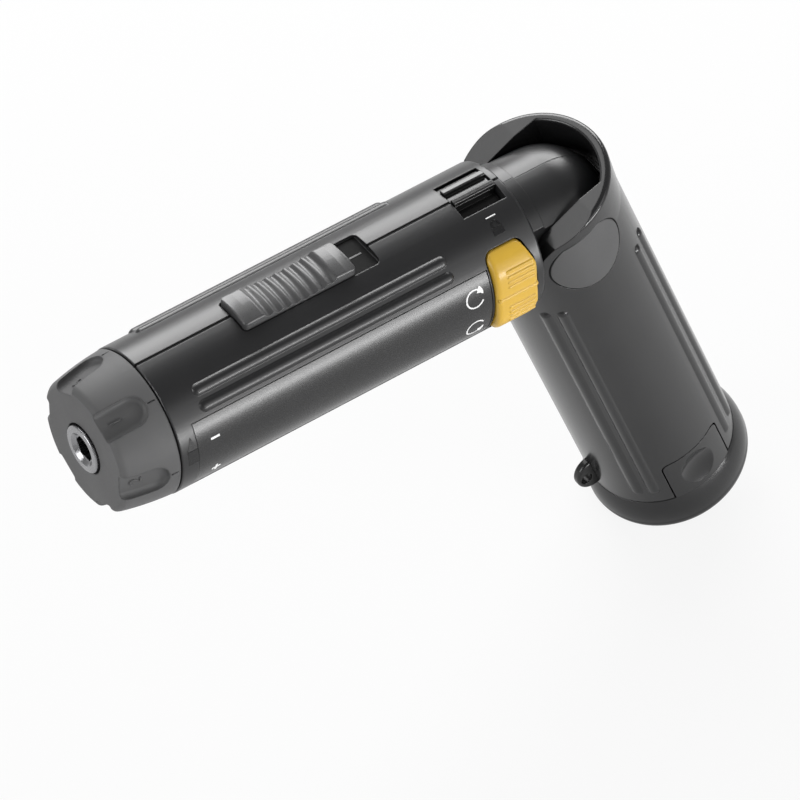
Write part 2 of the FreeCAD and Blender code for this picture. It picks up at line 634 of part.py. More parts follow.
CELL_LOW = CASE_TUBE_LOW + CELL_END_GAP
CELL_HIGH = CASE_TUBE_TOP - CASE_TUBE_LID - CELL_TOP_GAP - CELL_NUB_H
BLOCK_LOW = LOWER_FLOOR - BLOCK_HEIGHT
BLADE_TOP = LOWER_FLOOR + BLADE_BITE


def around(radius, angle, x=0):
    """Point at a radius from the barrel's axis, at an angle from the top towards the left."""
    turn = math.radians(angle)
    return Vector(x, radius * math.sin(turn), radius * math.cos(turn))


def block(x0, x1, y0, y1, z0, z1):
    return Part.makeBox(x1 - x0, y1 - y0, z1 - z0, Vector(x0, y0, z0))


def slab(half_width):
    return block(-FAR, FAR, -half_width, half_width, -FAR, FAR)


def rod(radius, x0, x1, y=0, z=0):
    """Round bar along the barrel."""
    return Part.makeCylinder(radius, x1 - x0, Vector(x0, y, z), ALONG)


def sleeve(outer, inner, x0, x1):
    return rod(outer, x0, x1).cut(rod(inner, x0 - CUT_OVERRUN, x1 + CUT_OVERRUN))


def cross_rod(radius, y0, y1, x=0, z=0):
    """Round bar across the tool."""
    return Part.makeCylinder(radius, y1 - y0, Vector(x, y0, z), LEFT)


def post(radius, z0, z1, x=0, y=0):
    """Round bar along the handle."""
    return Part.makeCylinder(radius, z1 - z0, Vector(x, y, z0), UP)


def ball(radius, place):
    return Part.makeSphere(radius, place)


def capsule(radius, start, end, side):
    """Round-ended bar, turned from a profile that lies on the given side of its axis."""
    along = (end - start) / (end - start).Length
    slant = math.sqrt(HALF_SHARE)
    tail, tip = start - along * radius, end + along * radius
    low, high = start + side * radius, end + side * radius
    tail_arc = Part.Arc(tail, start + (side - along) * radius * slant, low).toShape()
    tip_arc = Part.Arc(high, end + (side + along) * radius * slant, tip).toShape()
    profile = Part.Wire([tail_arc, Part.makeLine(low, high), tip_arc, Part.makeLine(tip, tail)])
    return Part.Face(profile).revolve(start, along, FULL_TURN)


def prism(points, direction):
    """Flat outline pushed along a direction."""
    return Part.Face(Part.makePolygon(points + points[:1])).extrude(direction)


def sector(inner, outer, x0, x1, start, end):
    """Part of a sleeve along the barrel between two angles."""
    middle = (start + end) * HALF_SHARE
    outer_arc = Part.Arc(around(outer, start, x0), around(outer, middle, x0), around(outer, end, x0))
    inner_arc = Part.Arc(around(inner, end, x0), around(inner, middle, x0), around(inner, start, x0))
    sides = (Part.LineSegment(around(outer, end, x0), around(inner, end, x0)),
             Part.LineSegment(around(inner, start, x0), around(outer, start, x0)))
    edges = [curve.toShape() for curve in (outer_arc, sides[0], inner_arc, sides[1])]
    return Part.Face(Part.Wire(edges)).extrude(ALONG * (x1 - x0))


def rounded(shape, radius, wanted):
    """Shape with the wanted edges rounded."""
    return shape.makeFillet(radius, [edge for edge in shape.Edges if wanted(edge)])


def runs_along(edge, direction):
    """True for a straight edge along a direction."""
    if not isinstance(edge.Curve, Part.Line):
        return False
    return abs(edge.Curve.Direction.dot(direction)) > 1 - Part.Precision.confusion()


def spun(shape, angle, centre=ORIGIN, axis=ALONG):
    turned = shape.copy()
    turned.rotate(centre, axis, angle)
    return turned


def ring_of(shape, count, first=0):
    """Copies of a shape spaced evenly round the barrel's axis."""
    return [spun(shape, first + FULL_TURN * i / count) for i in range(count)]


def mirrored(shape):
    """Same shape on the tool's other side."""
    return shape.mirror(ORIGIN, LEFT)


def tooth_half_angle(radius, teeth, slack):
    """Half of the angle that an involute tooth takes up at a radius."""
    pitch_r = PITCH_RADII[teeth]
    base_r = pitch_r * math.cos(math.radians(PRESSURE_ANGLE))

    def involute(r):
        pressure = math.acos(min(1, base_r / r))
        return math.tan(pressure) - pressure

    at_pitch = (math.pi * MODULE * HALF_SHARE + slack) * HALF_SHARE / pitch_r
    return at_pitch + involute(pitch_r) - involute(max(radius, base_r))


def gear_outline(teeth, root_r, tip_r, slack, x):
    """Closed outline of a spur gear across the barrel's axis, with one tooth at the top."""
    base_r = max(root_r, PITCH_RADII[teeth] * math.cos(math.radians(PRESSURE_ANGLE)))
    radii = [root_r] + [base_r + (tip_r - base_r) * i / FLANK_STEPS for i in range(FLANK_STEPS + 1)]
    if base_r == root_r:
        radii = radii[1:]
    points = []
    for tooth in range(teeth):
        centre = FULL_TURN * tooth / teeth
        halves = [math.degrees(tooth_half_angle(r, teeth, slack)) for r in radii]
        points += [around(r, centre - half, x) for r, half in zip(radii, halves)]
        points += [around(r, centre + half, x) for r, half in reversed(list(zip(radii, halves)))]
    return Part.Wire(Part.makePolygon(points + points[:1]))


def circle(radius, x, place=ORIGIN):
    return Part.Wire(Part.makeCircle(radius, Vector(x, place.y, place.z), ALONG))


def plate(x0, x1, outline, *holes):
    """Flat piece across the barrel, given by its outline and holes at x0."""
    return Part.makeFace([outline, *holes], "Part::FaceMakerBullseye").extrude(ALONG * (x1 - x0))


def external_gear(teeth, x0, x1, bore_r=0, turn=0):
    pitch_r = PITCH_RADII[teeth]
    outline = gear_outline(teeth, pitch_r - DEDENDUM_SHARE * MODULE, pitch_r + ADDENDUM_SHARE * MODULE,
                           -BACKLASH, x0)
    outline.rotate(Vector(x0, 0, 0), ALONG, turn)
    holes = [circle(bore_r, x0)] if bore_r else []
    return plate(x0, x1, outline, *holes)


def ring_gear(x0, x1):
    pitch_r = PITCH_RADII[RING_TEETH]
    spaces = gear_outline(RING_TEETH, pitch_r - ADDENDUM_SHARE * MODULE, pitch_r + DEDENDUM_SHARE * MODULE,
                          BACKLASH, x0)
    return plate(x0, x1, circle(RING_R, x0), spaces)


def pin_places():
    return [around(CARRIER_PIN_R, FULL_TURN * i / PLANETS) for i in range(PLANETS)]


def rocker_normal():
    return around(1, ROCKER_ANGLE)


def rocker_tangent():
    return around(1, ROCKER_ANGLE + QUARTER_TURN)


def rocker_prism(gap_x, gap_t, floor):
    """Straight prism over the rocker's plan with its slanted rear corners, widened by gaps."""
    reach = ROCKER_REACH + gap_t
    x0, x1 = ROCKER_REAR - gap_x, ROCKER_FRONT + gap_x
    inner = reach - ROCKER_CORNER_T
    slant = x0 + ROCKER_CORNER_X
    plan = [(x0, -inner), (slant, -reach), (x1, -reach), (x1, reach), (slant, reach), (x0, inner)]
    base = rocker_normal() * floor
    points = [base + ALONG * x + rocker_tangent() * t for x, t in plan]
    return rounded(prism(points, rocker_normal() * FAR), ROCKER_CORNER_R,
                   lambda edge: runs_along(edge, rocker_normal()))


def barrel_ribs():
    centre_r = BARREL_R + RIB_HEIGHT - RIB_R
    ribs = []
    for angle in BARREL_RIB_ANGLES:
        for side in (1, -1):
            ribs.append(capsule(RIB_R, around(centre_r, side * angle, BARREL_RIB_REAR),
                                around(centre_r, side * angle, BARREL_RIB_FRONT), -around(1, side * angle)))
    return ribs


def screw_tools():
    """Bosses, and the holes through them, for the housing screws."""
    bosses, holes = [], []
    for x, z in SCREW_PLACES:
        bosses.append(cross_rod(BOSS_R, -BARREL_R, BOSS_LEFT_Y, x, z))
        holes.append(cross_rod(SCREW_R + SCREW_FIT, -SPLIT_GAP, SCREW_TIP_Y + SLIDE_GAP, x, z))
        holes.append(cross_rod(SCREW_CLEAR_R, -SCREW_HEAD_Y - CUT_OVERRUN, 0, x, z))
        holes.append(cross_rod(SCREW_HEAD_R + SCREW_FIT, -BARREL_R - CUT_OVERRUN, -SCREW_HEAD_Y, x, z))
    return bosses, holes


def housing():
    """Both barrel halves in one piece, before they are parted."""
    barrel = rounded(rod(BARREL_R, BARREL_REAR, BARREL_FRONT), BARREL_EDGE,
                     lambda edge: edge.BoundBox.XMax < BARREL_REAR + BARREL_EDGE)
    barrel = rounded(barrel, BARREL_FRONT_EDGE,
                     lambda edge: edge.BoundBox.XMin > BARREL_FRONT - BARREL_FRONT_EDGE)
    neck = rod(NECK_R, 0, BARREL_REAR + CUT_OVERRUN).fuse([
        ball(NECK_R, ORIGIN), rod(COLLAR_R, COLLAR_REAR, BARREL_REAR + CUT_OVERRUN)])
    body = barrel.fuse([neck.common(slab(NECK_HALF_WIDTH))] + barrel_ribs())

    body = body.cut([
        rod(BORE_R, HOLLOW_REAR, LIP_REAR),
        rod(LIP_R, LIP_REAR - CUT_OVERRUN, BARREL_FRONT + CUT_OVERRUN),
        rod(LIP_R + BEAD_HEIGHT, SPIGOT_REAR + BEAD_INSET - RUNNING_FIT,
            SPIGOT_REAR + BEAD_INSET + BEAD_WIDTH + RUNNING_FIT),
        rod(NECK_BORE_R, -NECK_BORE_TAIL, HOLLOW_REAR + CUT_OVERRUN)])

    bosses, screw_holes = screw_tools()
    envelope = rod(BARREL_R - LABEL_THICKNESS, HOLLOW_REAR, BARREL_FRONT)
    ribs = [sleeve(BORE_R + CUT_OVERRUN, MOTOR_R + MOTOR_FIT, x, x + MOTOR_RIB_WIDTH) for x in MOTOR_RIB_XS]
    ribs.append(sleeve(BORE_R + CUT_OVERRUN, CASE_R + SEAT_GAP, CASE_RIB_X, CASE_RIB_X + CASE_RIB_WIDTH))
    body = body.fuse([boss.common(envelope) for boss in bosses] + ribs)

    pivots = [cross_rod(PIVOT_R + RUNNING_FIT, PIVOT_TIP_Y - SLIDE_GAP, NECK_HALF_WIDTH + CUT_OVERRUN)]
    pivots.append(mirrored(pivots[0]))
    slider_slot = rounded(block(SLOT_REAR, SLOT_FRONT, -SLOT_HALF_WIDTH, SLOT_HALF_WIDTH, SLOT_FLOOR, FAR),
                          SLOT_CORNER, lambda edge: runs_along(edge, UP))
    stem_slot = block(FORK_STEM_REAR - SPEED_TRAVEL - SLIDE_GAP, FORK_STEM_FRONT + SLIDE_GAP,
                      -FORK_HALF_WIDTH - SLIDE_GAP, FORK_HALF_WIDTH + SLIDE_GAP, FORK_ARM_LOW, FAR)
    lock_slot = block(LOCK_SLOT_REAR, LOCK_SLOT_FRONT, LOCK_SLOT_FAR_Y, LOCK_SLOT_NEAR_Y,
                      BORE_R - BARREL_WALL, FAR)
    label_seat = sector(BARREL_R - LABEL_SETBACK - LABEL_THICKNESS - SEAT_GAP, BARREL_R + CUT_OVERRUN,
                        LABEL_REAR - LABEL_EDGE_GAP, LABEL_FRONT + LABEL_EDGE_GAP,
                        LABEL_ANGLES[0] - LABEL_EDGE_ANGLE, LABEL_ANGLES[1] + LABEL_EDGE_ANGLE)
    half_seam = SEAM_WIDTH * HALF_SHARE
    seams = [block(BARREL_REAR, FAR, -half_seam, half_seam, BARREL_R - SEAM_DEPTH, FAR),
             block(BARREL_REAR, FAR, -half_seam, half_seam, -FAR, SEAM_DEPTH - BARREL_R)]
    opening = rocker_prism(SLIDE_GAP, ROCKER_TIP_GAP, ROCKER_OPENING_FLOOR)
    return body.cut(pivots + [slider_slot, stem_slot, lock_slot, label_seat, opening] + seams + screw_holes)


def housing_half(whole, side):
    near, far = sorted((side * SPLIT_GAP * HALF_SHARE, side * FAR))
    return whole.common(block(-FAR, FAR, near, far, -FAR, FAR))


def housing_screws():
    screws = []
    for x, z in SCREW_PLACES:
        shank = cross_rod(SCREW_R, -SCREW_HEAD_Y, SCREW_TIP_Y, x, z)
        head = cross_rod(SCREW_HEAD_R, -SCREW_HEAD_Y - SCREW_HEAD_H, -SCREW_HEAD_Y, x, z)
        recess = cross_rod(SCREW_RECESS_R, -SCREW_HEAD_Y - SCREW_HEAD_H - CUT_OVERRUN,
                           SCREW_RECESS_DEPTH - SCREW_HEAD_Y - SCREW_HEAD_H, x, z)
        screws.append(shank.fuse(head).cut(recess))
    return Part.makeCompound(screws)


def side_label():
    outer = BARREL_R - LABEL_SETBACK
    return sector(outer - LABEL_THICKNESS, outer, LABEL_REAR, LABEL_FRONT, *LABEL_ANGLES)


def speed_slider():
    """Grooved thumb slider: a rippled profile turned part of the way round the barrel's axis."""
    low = SLOT_FLOOR + SLIDE_GAP * HALF_SHARE
    ends = (SLIDER_REAR - CUT_OVERRUN, SLIDER_FRONT + CUT_OVERRUN)
    crests = [(ends[0], SLIDER_R), (SLIDER_MIDDLE - SLIDER_DIP_HALF - SLIDER_END_SLOPE, SLIDER_R)]
    for i in range(-1, 2 * SLIDER_RIPPLES + 2):
        offset = (i - SLIDER_RIPPLES) * RIPPLE_PITCH * HALF_SHARE
        crest = SLIDER_R - SLIDER_DIP * (1 - (offset / SLIDER_DIP_HALF) ** 2)
        crests.append((SLIDER_MIDDLE + offset, crest if i % 2 else crest - RIPPLE_DEPTH))
    crests += [(SLIDER_MIDDLE + SLIDER_DIP_HALF + SLIDER_END_SLOPE, SLIDER_R), (ends[1], SLIDER_R)]
    ripples = Part.BSplineCurve()
    ripples.interpolate([around(r, -SLIDER_SPREAD_ANGLE, x) for x, r in crests])
    corners = [around(r, -SLIDER_SPREAD_ANGLE, x) for x, r in
               ((ends[1], SLIDER_R), (ends[1], low), (ends[0], low), (ends[0], SLIDER_R))]
    lines = [Part.makeLine(a, b) for a, b in zip(corners, corners[1:])]
    swept = Part.Face(Part.Wire([ripples.toShape()] + lines)).revolve(ORIGIN, ALONG, -2 * SLIDER_SPREAD_ANGLE)
    half = SLOT_HALF_WIDTH - SLIDE_GAP
    pad = rounded(block(SLIDER_REAR, SLIDER_FRONT, -half, half, low, FAR), SLOT_CORNER - SLIDE_GAP,
                  lambda edge: runs_along(edge, UP)).common(rod(SLIDER_R, SLIDER_REAR, SLIDER_FRONT))
    crown = max(pad.Faces, key=lambda face: face.CenterOfMass.z)
    pad = pad.makeFillet(SLIDER_EDGE, crown.Edges)
    socket = block(FORK_STEM_REAR - SEAT_GAP, FORK_STEM_FRONT + SEAT_GAP, -FORK_HALF_WIDTH - SEAT_GAP,
                   FORK_HALF_WIDTH + SEAT_GAP, 0, FORK_STEM_TOP + SEAT_GAP)
    return pad.common(swept).cut(socket)


def shift_fork():
    arm = block(FORK_STEM_REAR, FORK_FINGER_FRONT, -FORK_HALF_WIDTH, FORK_HALF_WIDTH, FORK_ARM_LOW,
                FORK_ARM_HIGH)
    stem = block(FORK_STEM_REAR, FORK_STEM_FRONT, -FORK_HALF_WIDTH, FORK_HALF_WIDTH, FORK_ARM_LOW,
                 FORK_STEM_TOP)
    finger = block(FORK_FINGER_REAR, FORK_FINGER_FRONT, -FORK_HALF_WIDTH, FORK_HALF_WIDTH, FORK_FINGER_LOW,
                   FORK_ARM_HIGH)
    return arm.fuse([stem, finger]).removeSplitter()


def lock_slider():
    """Ribbed button in the cross slot, on a curved plate that stays under the housing wall."""
    x0, x1 = LOCK_SLOT_REAR + SLIDE_GAP, LOCK_SLOT_FRONT - SLIDE_GAP
    plate_top = BORE_R - LOCK_PLATE_GAP
    shoe = sector(plate_top - LOCK_PLATE_T, plate_top, x0, x1, *LOCK_PLATE_ANGLES)
    root = plate_top - LOCK_PLATE_T * HALF_SHARE
    valley = LOCK_R - LOCK_RIB_DEPTH
    button = sector(root, valley, x0, x1, *LOCK_ANGLES)
    for start, end in LOCK_RIB_ANGLES:
        outline = [around(root, start - LOCK_RIB_SLOPE_ANGLE, x0), around(LOCK_R, start, x0),
                   around(LOCK_R, end, x0), around(root, end + LOCK_RIB_SLOPE_ANGLE, x0)]
        rib = rounded(prism(outline, ALONG * (x1 - x0)), LOCK_RIB_EDGE,
                      lambda edge: runs_along(edge, ALONG) and edge.CenterOfMass.Length > valley)
        button = button.fuse(rib)
    return button.fuse(shoe).removeSplitter()


def rocker_profile():
    """Rocker's saddle-shaped section, from its upper end to its lower one."""
    drops = ((-ROCKER_END_ANGLE, ROCKER_END_R), (-ROCKER_CREST_ANGLE, ROCKER_R),
             (0, ROCKER_R - ROCKER_SADDLE), (ROCKER_CREST_ANGLE, ROCKER_R), (ROCKER_END_ANGLE, ROCKER_END_R))
    curve = Part.BSplineCurve()
    curve.interpolate([around(radius, ROCKER_ANGLE + angle, ROCKER_REAR) for angle, radius in drops])
    return curve.toShape()


def rocker_plate(profile):
    """Finger plate of the rocker, with its upper edges rounded."""
    ends = [around(ROCKER_SKIRT_R, ROCKER_ANGLE + angle, ROCKER_REAR)
            for angle in (-ROCKER_END_ANGLE, 0, ROCKER_END_ANGLE)]
    skirt = Part.Arc(*ends).toShape()
    sides = [Part.makeLine(ends[0], profile.firstVertex().Point),
             Part.makeLine(profile.lastVertex().Point, ends[2])]
    solid = Part.Face(Part.Wire([sides[0], profile, sides[1], skirt])).extrude(ALONG * ROCKER_LENGTH)
    solid = solid.common(rocker_prism(0, 0, 0))
    top = max(solid.Faces, key=lambda face: face.CenterOfMass.dot(rocker_normal()))
    return solid.makeFillet(ROCKER_EDGE, top.Edges)


def rocker_bar(profile, angle, radius, height, rear, front):
    """Round bar along the barrel that stands a little out of the finger plate."""
    turn = ROCKER_ANGLE + angle
    ray = Part.makeLine(around(ROCKER_SKIRT_R, turn, ROCKER_REAR), around(FAR, turn, ROCKER_REAR))
    place = profile.distToShape(ray)[1][0][0] + around(height - radius, turn)
    return capsule(radius, place + ALONG * rear, place + ALONG * front, -around(1, turn))


def rocker_button():
    """Two-way rocker with finger ribs, its web and the boss that turns on the rocker pin."""
    profile = rocker_profile()
    bars = [rocker_bar(profile, 0, ROCKER_RIDGE_R, ROCKER_RIDGE_HEIGHT, ROCKER_RIDGE_INSET,
                       ROCKER_LENGTH - ROCKER_RIDGE_INSET)]
    for i in range(ROCKER_RIBS):
        for side in (1, -1):
            bars.append(rocker_bar(profile, side * (ROCKER_RIB_FIRST_ANGLE + i * ROCKER_RIB_STEP_ANGLE),
                                   ROCKER_RIB_R, ROCKER_RIB_HEIGHT, ROCKER_RIB_REAR_INSET,
                                   ROCKER_LENGTH - ROCKER_RIB_FRONT_INSET))
    pivot = rocker_normal() * ROCKER_PIVOT_R
    boss = rod(ROCKER_BOSS_R, ROCKER_WEB_REAR, ROCKER_WEB_FRONT, pivot.y, pivot.z)
    edge = rocker_tangent() * ROCKER_WEB_HALF
    top = rocker_normal() * (ROCKER_SKIRT_R + CUT_OVERRUN)
    start = ALONG * ROCKER_WEB_REAR
    web = prism([start + pivot - edge, start + pivot + edge, start + top + edge, start + top - edge],
                ALONG * (ROCKER_WEB_FRONT - ROCKER_WEB_REAR))
    hole = rod(ROCKER_PIN_R + RUNNING_FIT, ROCKER_WEB_REAR - CUT_OVERRUN, ROCKER_WEB_FRONT + CUT_OVERRUN,
               pivot.y, pivot.z)
    return rocker_plate(profile).fuse(bars + [web, boss]).cut(hole)


def rocker_pin():
    pivot = rocker_normal() * ROCKER_PIVOT_R
    return rod(ROCKER_PIN_R, SWITCH_REAR, SWITCH_FRONT, pivot.y, pivot.z)


def switch_module():
    """Switch body with two ears that carry the rocker pin."""
    pivot = rocker_normal() * ROCKER_PIVOT_R
    body = block(SWITCH_REAR, SWITCH_FRONT, SWITCH_INNER_Y, SWITCH_OUTER_Y, -SWITCH_HALF_HEIGHT,
                 SWITCH_HALF_HEIGHT)
    ears = [block(x, x + SWITCH_EAR_T, SWITCH_OUTER_Y - CUT_OVERRUN, SWITCH_EAR_TOP,
                  pivot.z - SWITCH_EAR_HALF, pivot.z + SWITCH_EAR_HALF)
            for x in (SWITCH_REAR, SWITCH_FRONT - SWITCH_EAR_T)]
    hole = rod(ROCKER_PIN_R + PRESS_GAP, SWITCH_REAR - CUT_OVERRUN, SWITCH_FRONT + CUT_OVERRUN,
               pivot.y, pivot.z)
    return body.fuse(ears).cut(hole)


def dial_recess():
    """Thumb recess of the dial at the top: a slanted U-shaped pocket open at the nose face."""
    slope = math.atan2(RECESS_REAR_FLOOR - RECESS_FACE_FLOOR, DIAL_FACE - RECESS_REAR)
    length = (DIAL_FACE - RECESS_REAR) / math.cos(slope)
    half = RECESS_HALF_WIDTH
    corners = [Vector(-half, half, 0), Vector(-half, length + CUT_OVERRUN, 0),
               Vector(half, length + CUT_OVERRUN, 0), Vector(half, half, 0)]
    arc = Part.Arc(corners[3], Vector(0, 0, 0), corners[0]).toShape()
    sides = [Part.makeLine(a, b) for a, b in zip(corners, corners[1:])]
    pocket = rounded(Part.Face(Part.Wire(sides + [arc])).extrude(UP * RECESS_DEPTH), RECESS_ROUND,
                     lambda edge: edge.BoundBox.ZMax < RECESS_ROUND)
    pocket.rotate(ORIGIN, UP, -QUARTER_TURN)
    pocket.rotate(ORIGIN, LEFT, math.degrees(slope))
    pocket.translate(Vector(RECESS_REAR, 0, RECESS_REAR_FLOOR))
    return pocket


def torque_dial():
    """Six-position torque dial with its snap spigot, thumb recesses and keys for the clutch nut."""
    rim = [Vector(DIAL_REAR, 0, DIAL_REAR_R - DIAL_REAR_EDGE),
           Vector(DIAL_REAR + DIAL_REAR_EDGE, 0, DIAL_REAR_R)]
    crown = Part.Arc(rim[1], Vector(DIAL_MID, 0, DIAL_MID_R),
                     Vector(DIAL_SHOULDER, 0, DIAL_SHOULDER_R)).toShape()
    corner = Part.Arc(Vector(DIAL_SHOULDER, 0, DIAL_SHOULDER_R), Vector(DIAL_CORNER, 0, DIAL_CORNER_R),
                      Vector(DIAL_FACE, 0, DIAL_FACE_R)).toShape()
    ends = [Vector(DIAL_FACE, 0, DIAL_FACE_R), Vector(DIAL_FACE, 0, 0), Vector(DIAL_REAR, 0, 0)] + rim
    lines = [Part.makeLine(a, b) for a, b in zip(ends, ends[1:])]
    body = Part.Face(Part.Wire([crown, corner] + lines)).revolve(ORIGIN, ALONG, FULL_TURN)
    spigot = rod(SPIGOT_R, SPIGOT_REAR, DIAL_REAR + CUT_OVERRUN)
    bead = rod(SPIGOT_R + BEAD_HEIGHT, SPIGOT_REAR + BEAD_INSET, SPIGOT_REAR + BEAD_INSET + BEAD_WIDTH)
    body = body.fuse([spigot, bead])
    body = body.cut([rod(DIAL_CAVITY_R, SPIGOT_REAR - CUT_OVERRUN, DIAL_CAVITY_FRONT),
                     rod(NOSE_R + RUNNING_FIT, DIAL_CAVITY_FRONT - CUT_OVERRUN, DIAL_NOSE_STOP),
                     rod(DIAL_HOLE_R, DIAL_NOSE_STOP - CUT_OVERRUN, DIAL_FACE + CUT_OVERRUN)]
                    + ring_of(dial_recess(), DIAL_RECESSES, DIAL_RECESS_ANGLE))
    key = block(DIAL_KEY_REAR, DIAL_CAVITY_FRONT + CUT_OVERRUN, -DIAL_KEY_HALF, DIAL_KEY_HALF, DIAL_KEY_R,
                DIAL_CAVITY_R + CUT_OVERRUN * HALF_SHARE)
    return body.fuse(ring_of(key, DIAL_KEYS))


def spindle():
    """Output spindle with a hexagon socket for screwdriver bits."""
    head = rounded(rod(SPINDLE_HEAD_R, SPINDLE_HEAD_REAR, SOCKET_TO_HINGE), SPINDLE_EDGE,
                   lambda edge: edge.BoundBox.XMin > SOCKET_TO_HINGE - SPINDLE_EDGE)
    body = head.fuse([rod(SPINDLE_R, CARRIER_TWO_FRONT, SPINDLE_HEAD_REAR + CUT_OVERRUN),
                      rod(SPINDLE_STUB_R, CARRIER_TWO_REAR, CARRIER_TWO_FRONT + CUT_OVERRUN)])
    corners = [around(HEX_CORNER_R, HEX_CORNER_ANGLE + FULL_TURN * i / HEX_SIDES, HEX_FLOOR)
               for i in range(HEX_SIDES)]
    socket = prism(corners, ALONG * (SOCKET_TO_HINGE + CUT_OVERRUN - HEX_FLOOR))
    cone = Part.makeCone(HEX_CORNER_R + SEAT_GAP, MOUTH_CONE_R, MOUTH_CONE_DEPTH,
                         Vector(SOCKET_TO_HINGE - MOUTH_CONE_DEPTH, 0, 0), ALONG)
    return body.cut([socket, cone])


def bit_magnet():
    return rod(MAGNET_R, HEX_FLOOR, HEX_FLOOR + MAGNET_LENGTH)


def spindle_bushes():
    return Part.makeCompound([sleeve(NOSE_BORE_R - SEAT_GAP, SPINDLE_R + RUNNING_FIT, x0, x1)
                              for x0, x1 in BUSH_PLACES])


def gear_case():
    """Gear case with the ball cage in its front wall and the nose that carries spindle and clutch nut."""
    body = rod(CASE_R, CASE_REAR, CASE_FRONT).fuse(rod(NOSE_R, CASE_FRONT - CUT_OVERRUN, NOSE_FRONT))
    notch = sector(CASE_BORE_R - CUT_OVERRUN, CASE_WIDE_R, CASE_STEP - CUT_OVERRUN, DOG_NOTCH_FRONT,
                   -DOG_NOTCH_SPREAD_ANGLE, DOG_NOTCH_SPREAD_ANGLE)
    hole = rod(BALL_R + BALL_FIT, CASE_WALL_REAR - CUT_OVERRUN, CASE_FRONT + CUT_OVERRUN, 0, BALL_CIRCLE_R)
    fork_slot = block(FORK_SLOT_REAR, FORK_SLOT_FRONT, -FORK_SLOT_HALF, FORK_SLOT_HALF, CARRIER_ONE_R, FAR)
    return body.cut([rod(CASE_WIDE_R, CASE_REAR - CUT_OVERRUN, CASE_STEP),
                     rod(CASE_BORE_R, CASE_STEP - CUT_OVERRUN, CASE_WALL_REAR),
                     sleeve(CASE_BORE_R, CASE_RECESS_R, CASE_WALL_REAR - CUT_OVERRUN, CASE_RECESS_FRONT),
                     rod(NOSE_BORE_R, CASE_WALL_REAR - CUT_OVERRUN, NOSE_FRONT + CUT_OVERRUN), fork_slot]
                    + ring_of(notch, DOGS, FULL_TURN * HALF_SHARE / DOGS) + ring_of(hole, BALLS))


def output_ring_gear():
    """Second ring gear, with the face bumps that ride over the clutch balls when the clutch slips."""
    bump = sector(BUMP_INNER_R, BUMP_OUTER_R, OUTPUT_RING_FRONT - CUT_OVERRUN,
                  OUTPUT_RING_FRONT + BUMP_HEIGHT, -BUMP_SPREAD_ANGLE, BUMP_SPREAD_ANGLE)
    return ring_gear(OUTPUT_RING_REAR, OUTPUT_RING_FRONT).fuse(
        ring_of(bump, BALLS, FULL_TURN * HALF_SHARE / BALLS))


def shift_ring_gear():
    """First ring gear, which slides back out of the case's notches for high speed."""
    dog = sector(RING_R - SEAT_GAP, DOG_R, DOG_REAR, SHIFT_RING_FRONT, -DOG_SPREAD_ANGLE, DOG_SPREAD_ANGLE)
    ring = ring_gear(SHIFT_RING_REAR, SHIFT_RING_FRONT)
    groove = sleeve(RING_R + CUT_OVERRUN, SHIFT_GROOVE_R, SHIFT_GROOVE_REAR, SHIFT_GROOVE_FRONT)
    return ring.cut(groove).fuse(ring_of(dog, DOGS, FULL_TURN * HALF_SHARE / DOGS))


def clutch_balls():
    return Part.makeCompound(ring_of(ball(BALL_R, Vector(BALL_X, 0, BALL_CIRCLE_R)), BALLS))


def clutch_washer():
    return sleeve(WASHER_R, WASHER_BORE_R, WASHER_REAR, WASHER_FRONT)


def clutch_spring():
    """Coil spring between the clutch washer and the nut."""
    start = WASHER_FRONT + SPRING_END_GAP + SPRING_WIRE_R
    end = NUT_REAR - SPRING_END_GAP - SPRING_WIRE_R
    pitch = (end - start) / SPRING_TURNS
    print("clutch spring gap between turns", round(pitch - 2 * SPRING_WIRE_R, 2))
    path = Part.makeHelix(pitch, end - start, SPRING_R)
    section = Part.Wire(Part.makeCircle(SPRING_WIRE_R, Vector(SPRING_R, 0, 0), LEFT))
    coil = Part.Wire(path).makePipeShell([section], True, True)
    coil.rotate(ORIGIN, LEFT, QUARTER_TURN)
    coil.translate(ALONG * start)
    return coil


def clutch_nut():
    ring = sleeve(NUT_R, NOSE_R + NUT_FIT, NUT_REAR, NUT_FRONT)
    half = DIAL_KEY_HALF + NUT_NOTCH_GAP
    notch = block(NUT_REAR - CUT_OVERRUN, NUT_FRONT + CUT_OVERRUN, -half, half,
                  DIAL_KEY_R - NUT_NOTCH_GAP, FAR)
    return ring.cut(ring_of(notch, DIAL_KEYS))


def planet(x0, x1, place):
    """Planet gear with one tooth pointing straight out from the barrel's axis."""
    gear = external_gear(PLANET_TEETH, x0, x1, PLANET_PIN_R + RUNNING_FIT)
    gear.rotate(ORIGIN, ALONG, -math.degrees(math.atan2(place.y, place.z)))
    gear.translate(place)
    return gear


def planet_pins(x0, x1):
    return [rod(PLANET_PIN_R, x0, x1, place.y, place.z) for place in pin_places()]


def sun_turn():
    """Turn that puts a tooth space of a sun gear at the top."""
    return FULL_TURN * HALF_SHARE / SUN_TEETH


def motor_pinion():
    return external_gear(SUN_TEETH, PINION_REAR, PINION_FRONT, SHAFT_R + PRESS_GAP, sun_turn())


def first_carrier():
    disc = rod(CARRIER_ONE_R, CARRIER_ONE_REAR, CARRIER_ONE_FRONT)
    sun = external_gear(SUN_TEETH, CARRIER_ONE_FRONT - SEAT_GAP, SUN_TWO_FRONT, 0, sun_turn())
    return disc.fuse([sun] + planet_pins(PIN_PLATE_REAR, CARRIER_ONE_REAR + SEAT_GAP))


def pin_plate():
    """Plate that joins the rear ends of the first carrier's pins."""
    holes = [circle(PLANET_PIN_R + PRESS_GAP, PIN_PLATE_REAR, place) for place in pin_places()]
    return plate(PIN_PLATE_REAR, PIN_PLATE_FRONT, circle(PIN_PLATE_R, PIN_PLATE_REAR),
                 circle(SUN_HOLE_R, PIN_PLATE_REAR), *holes)


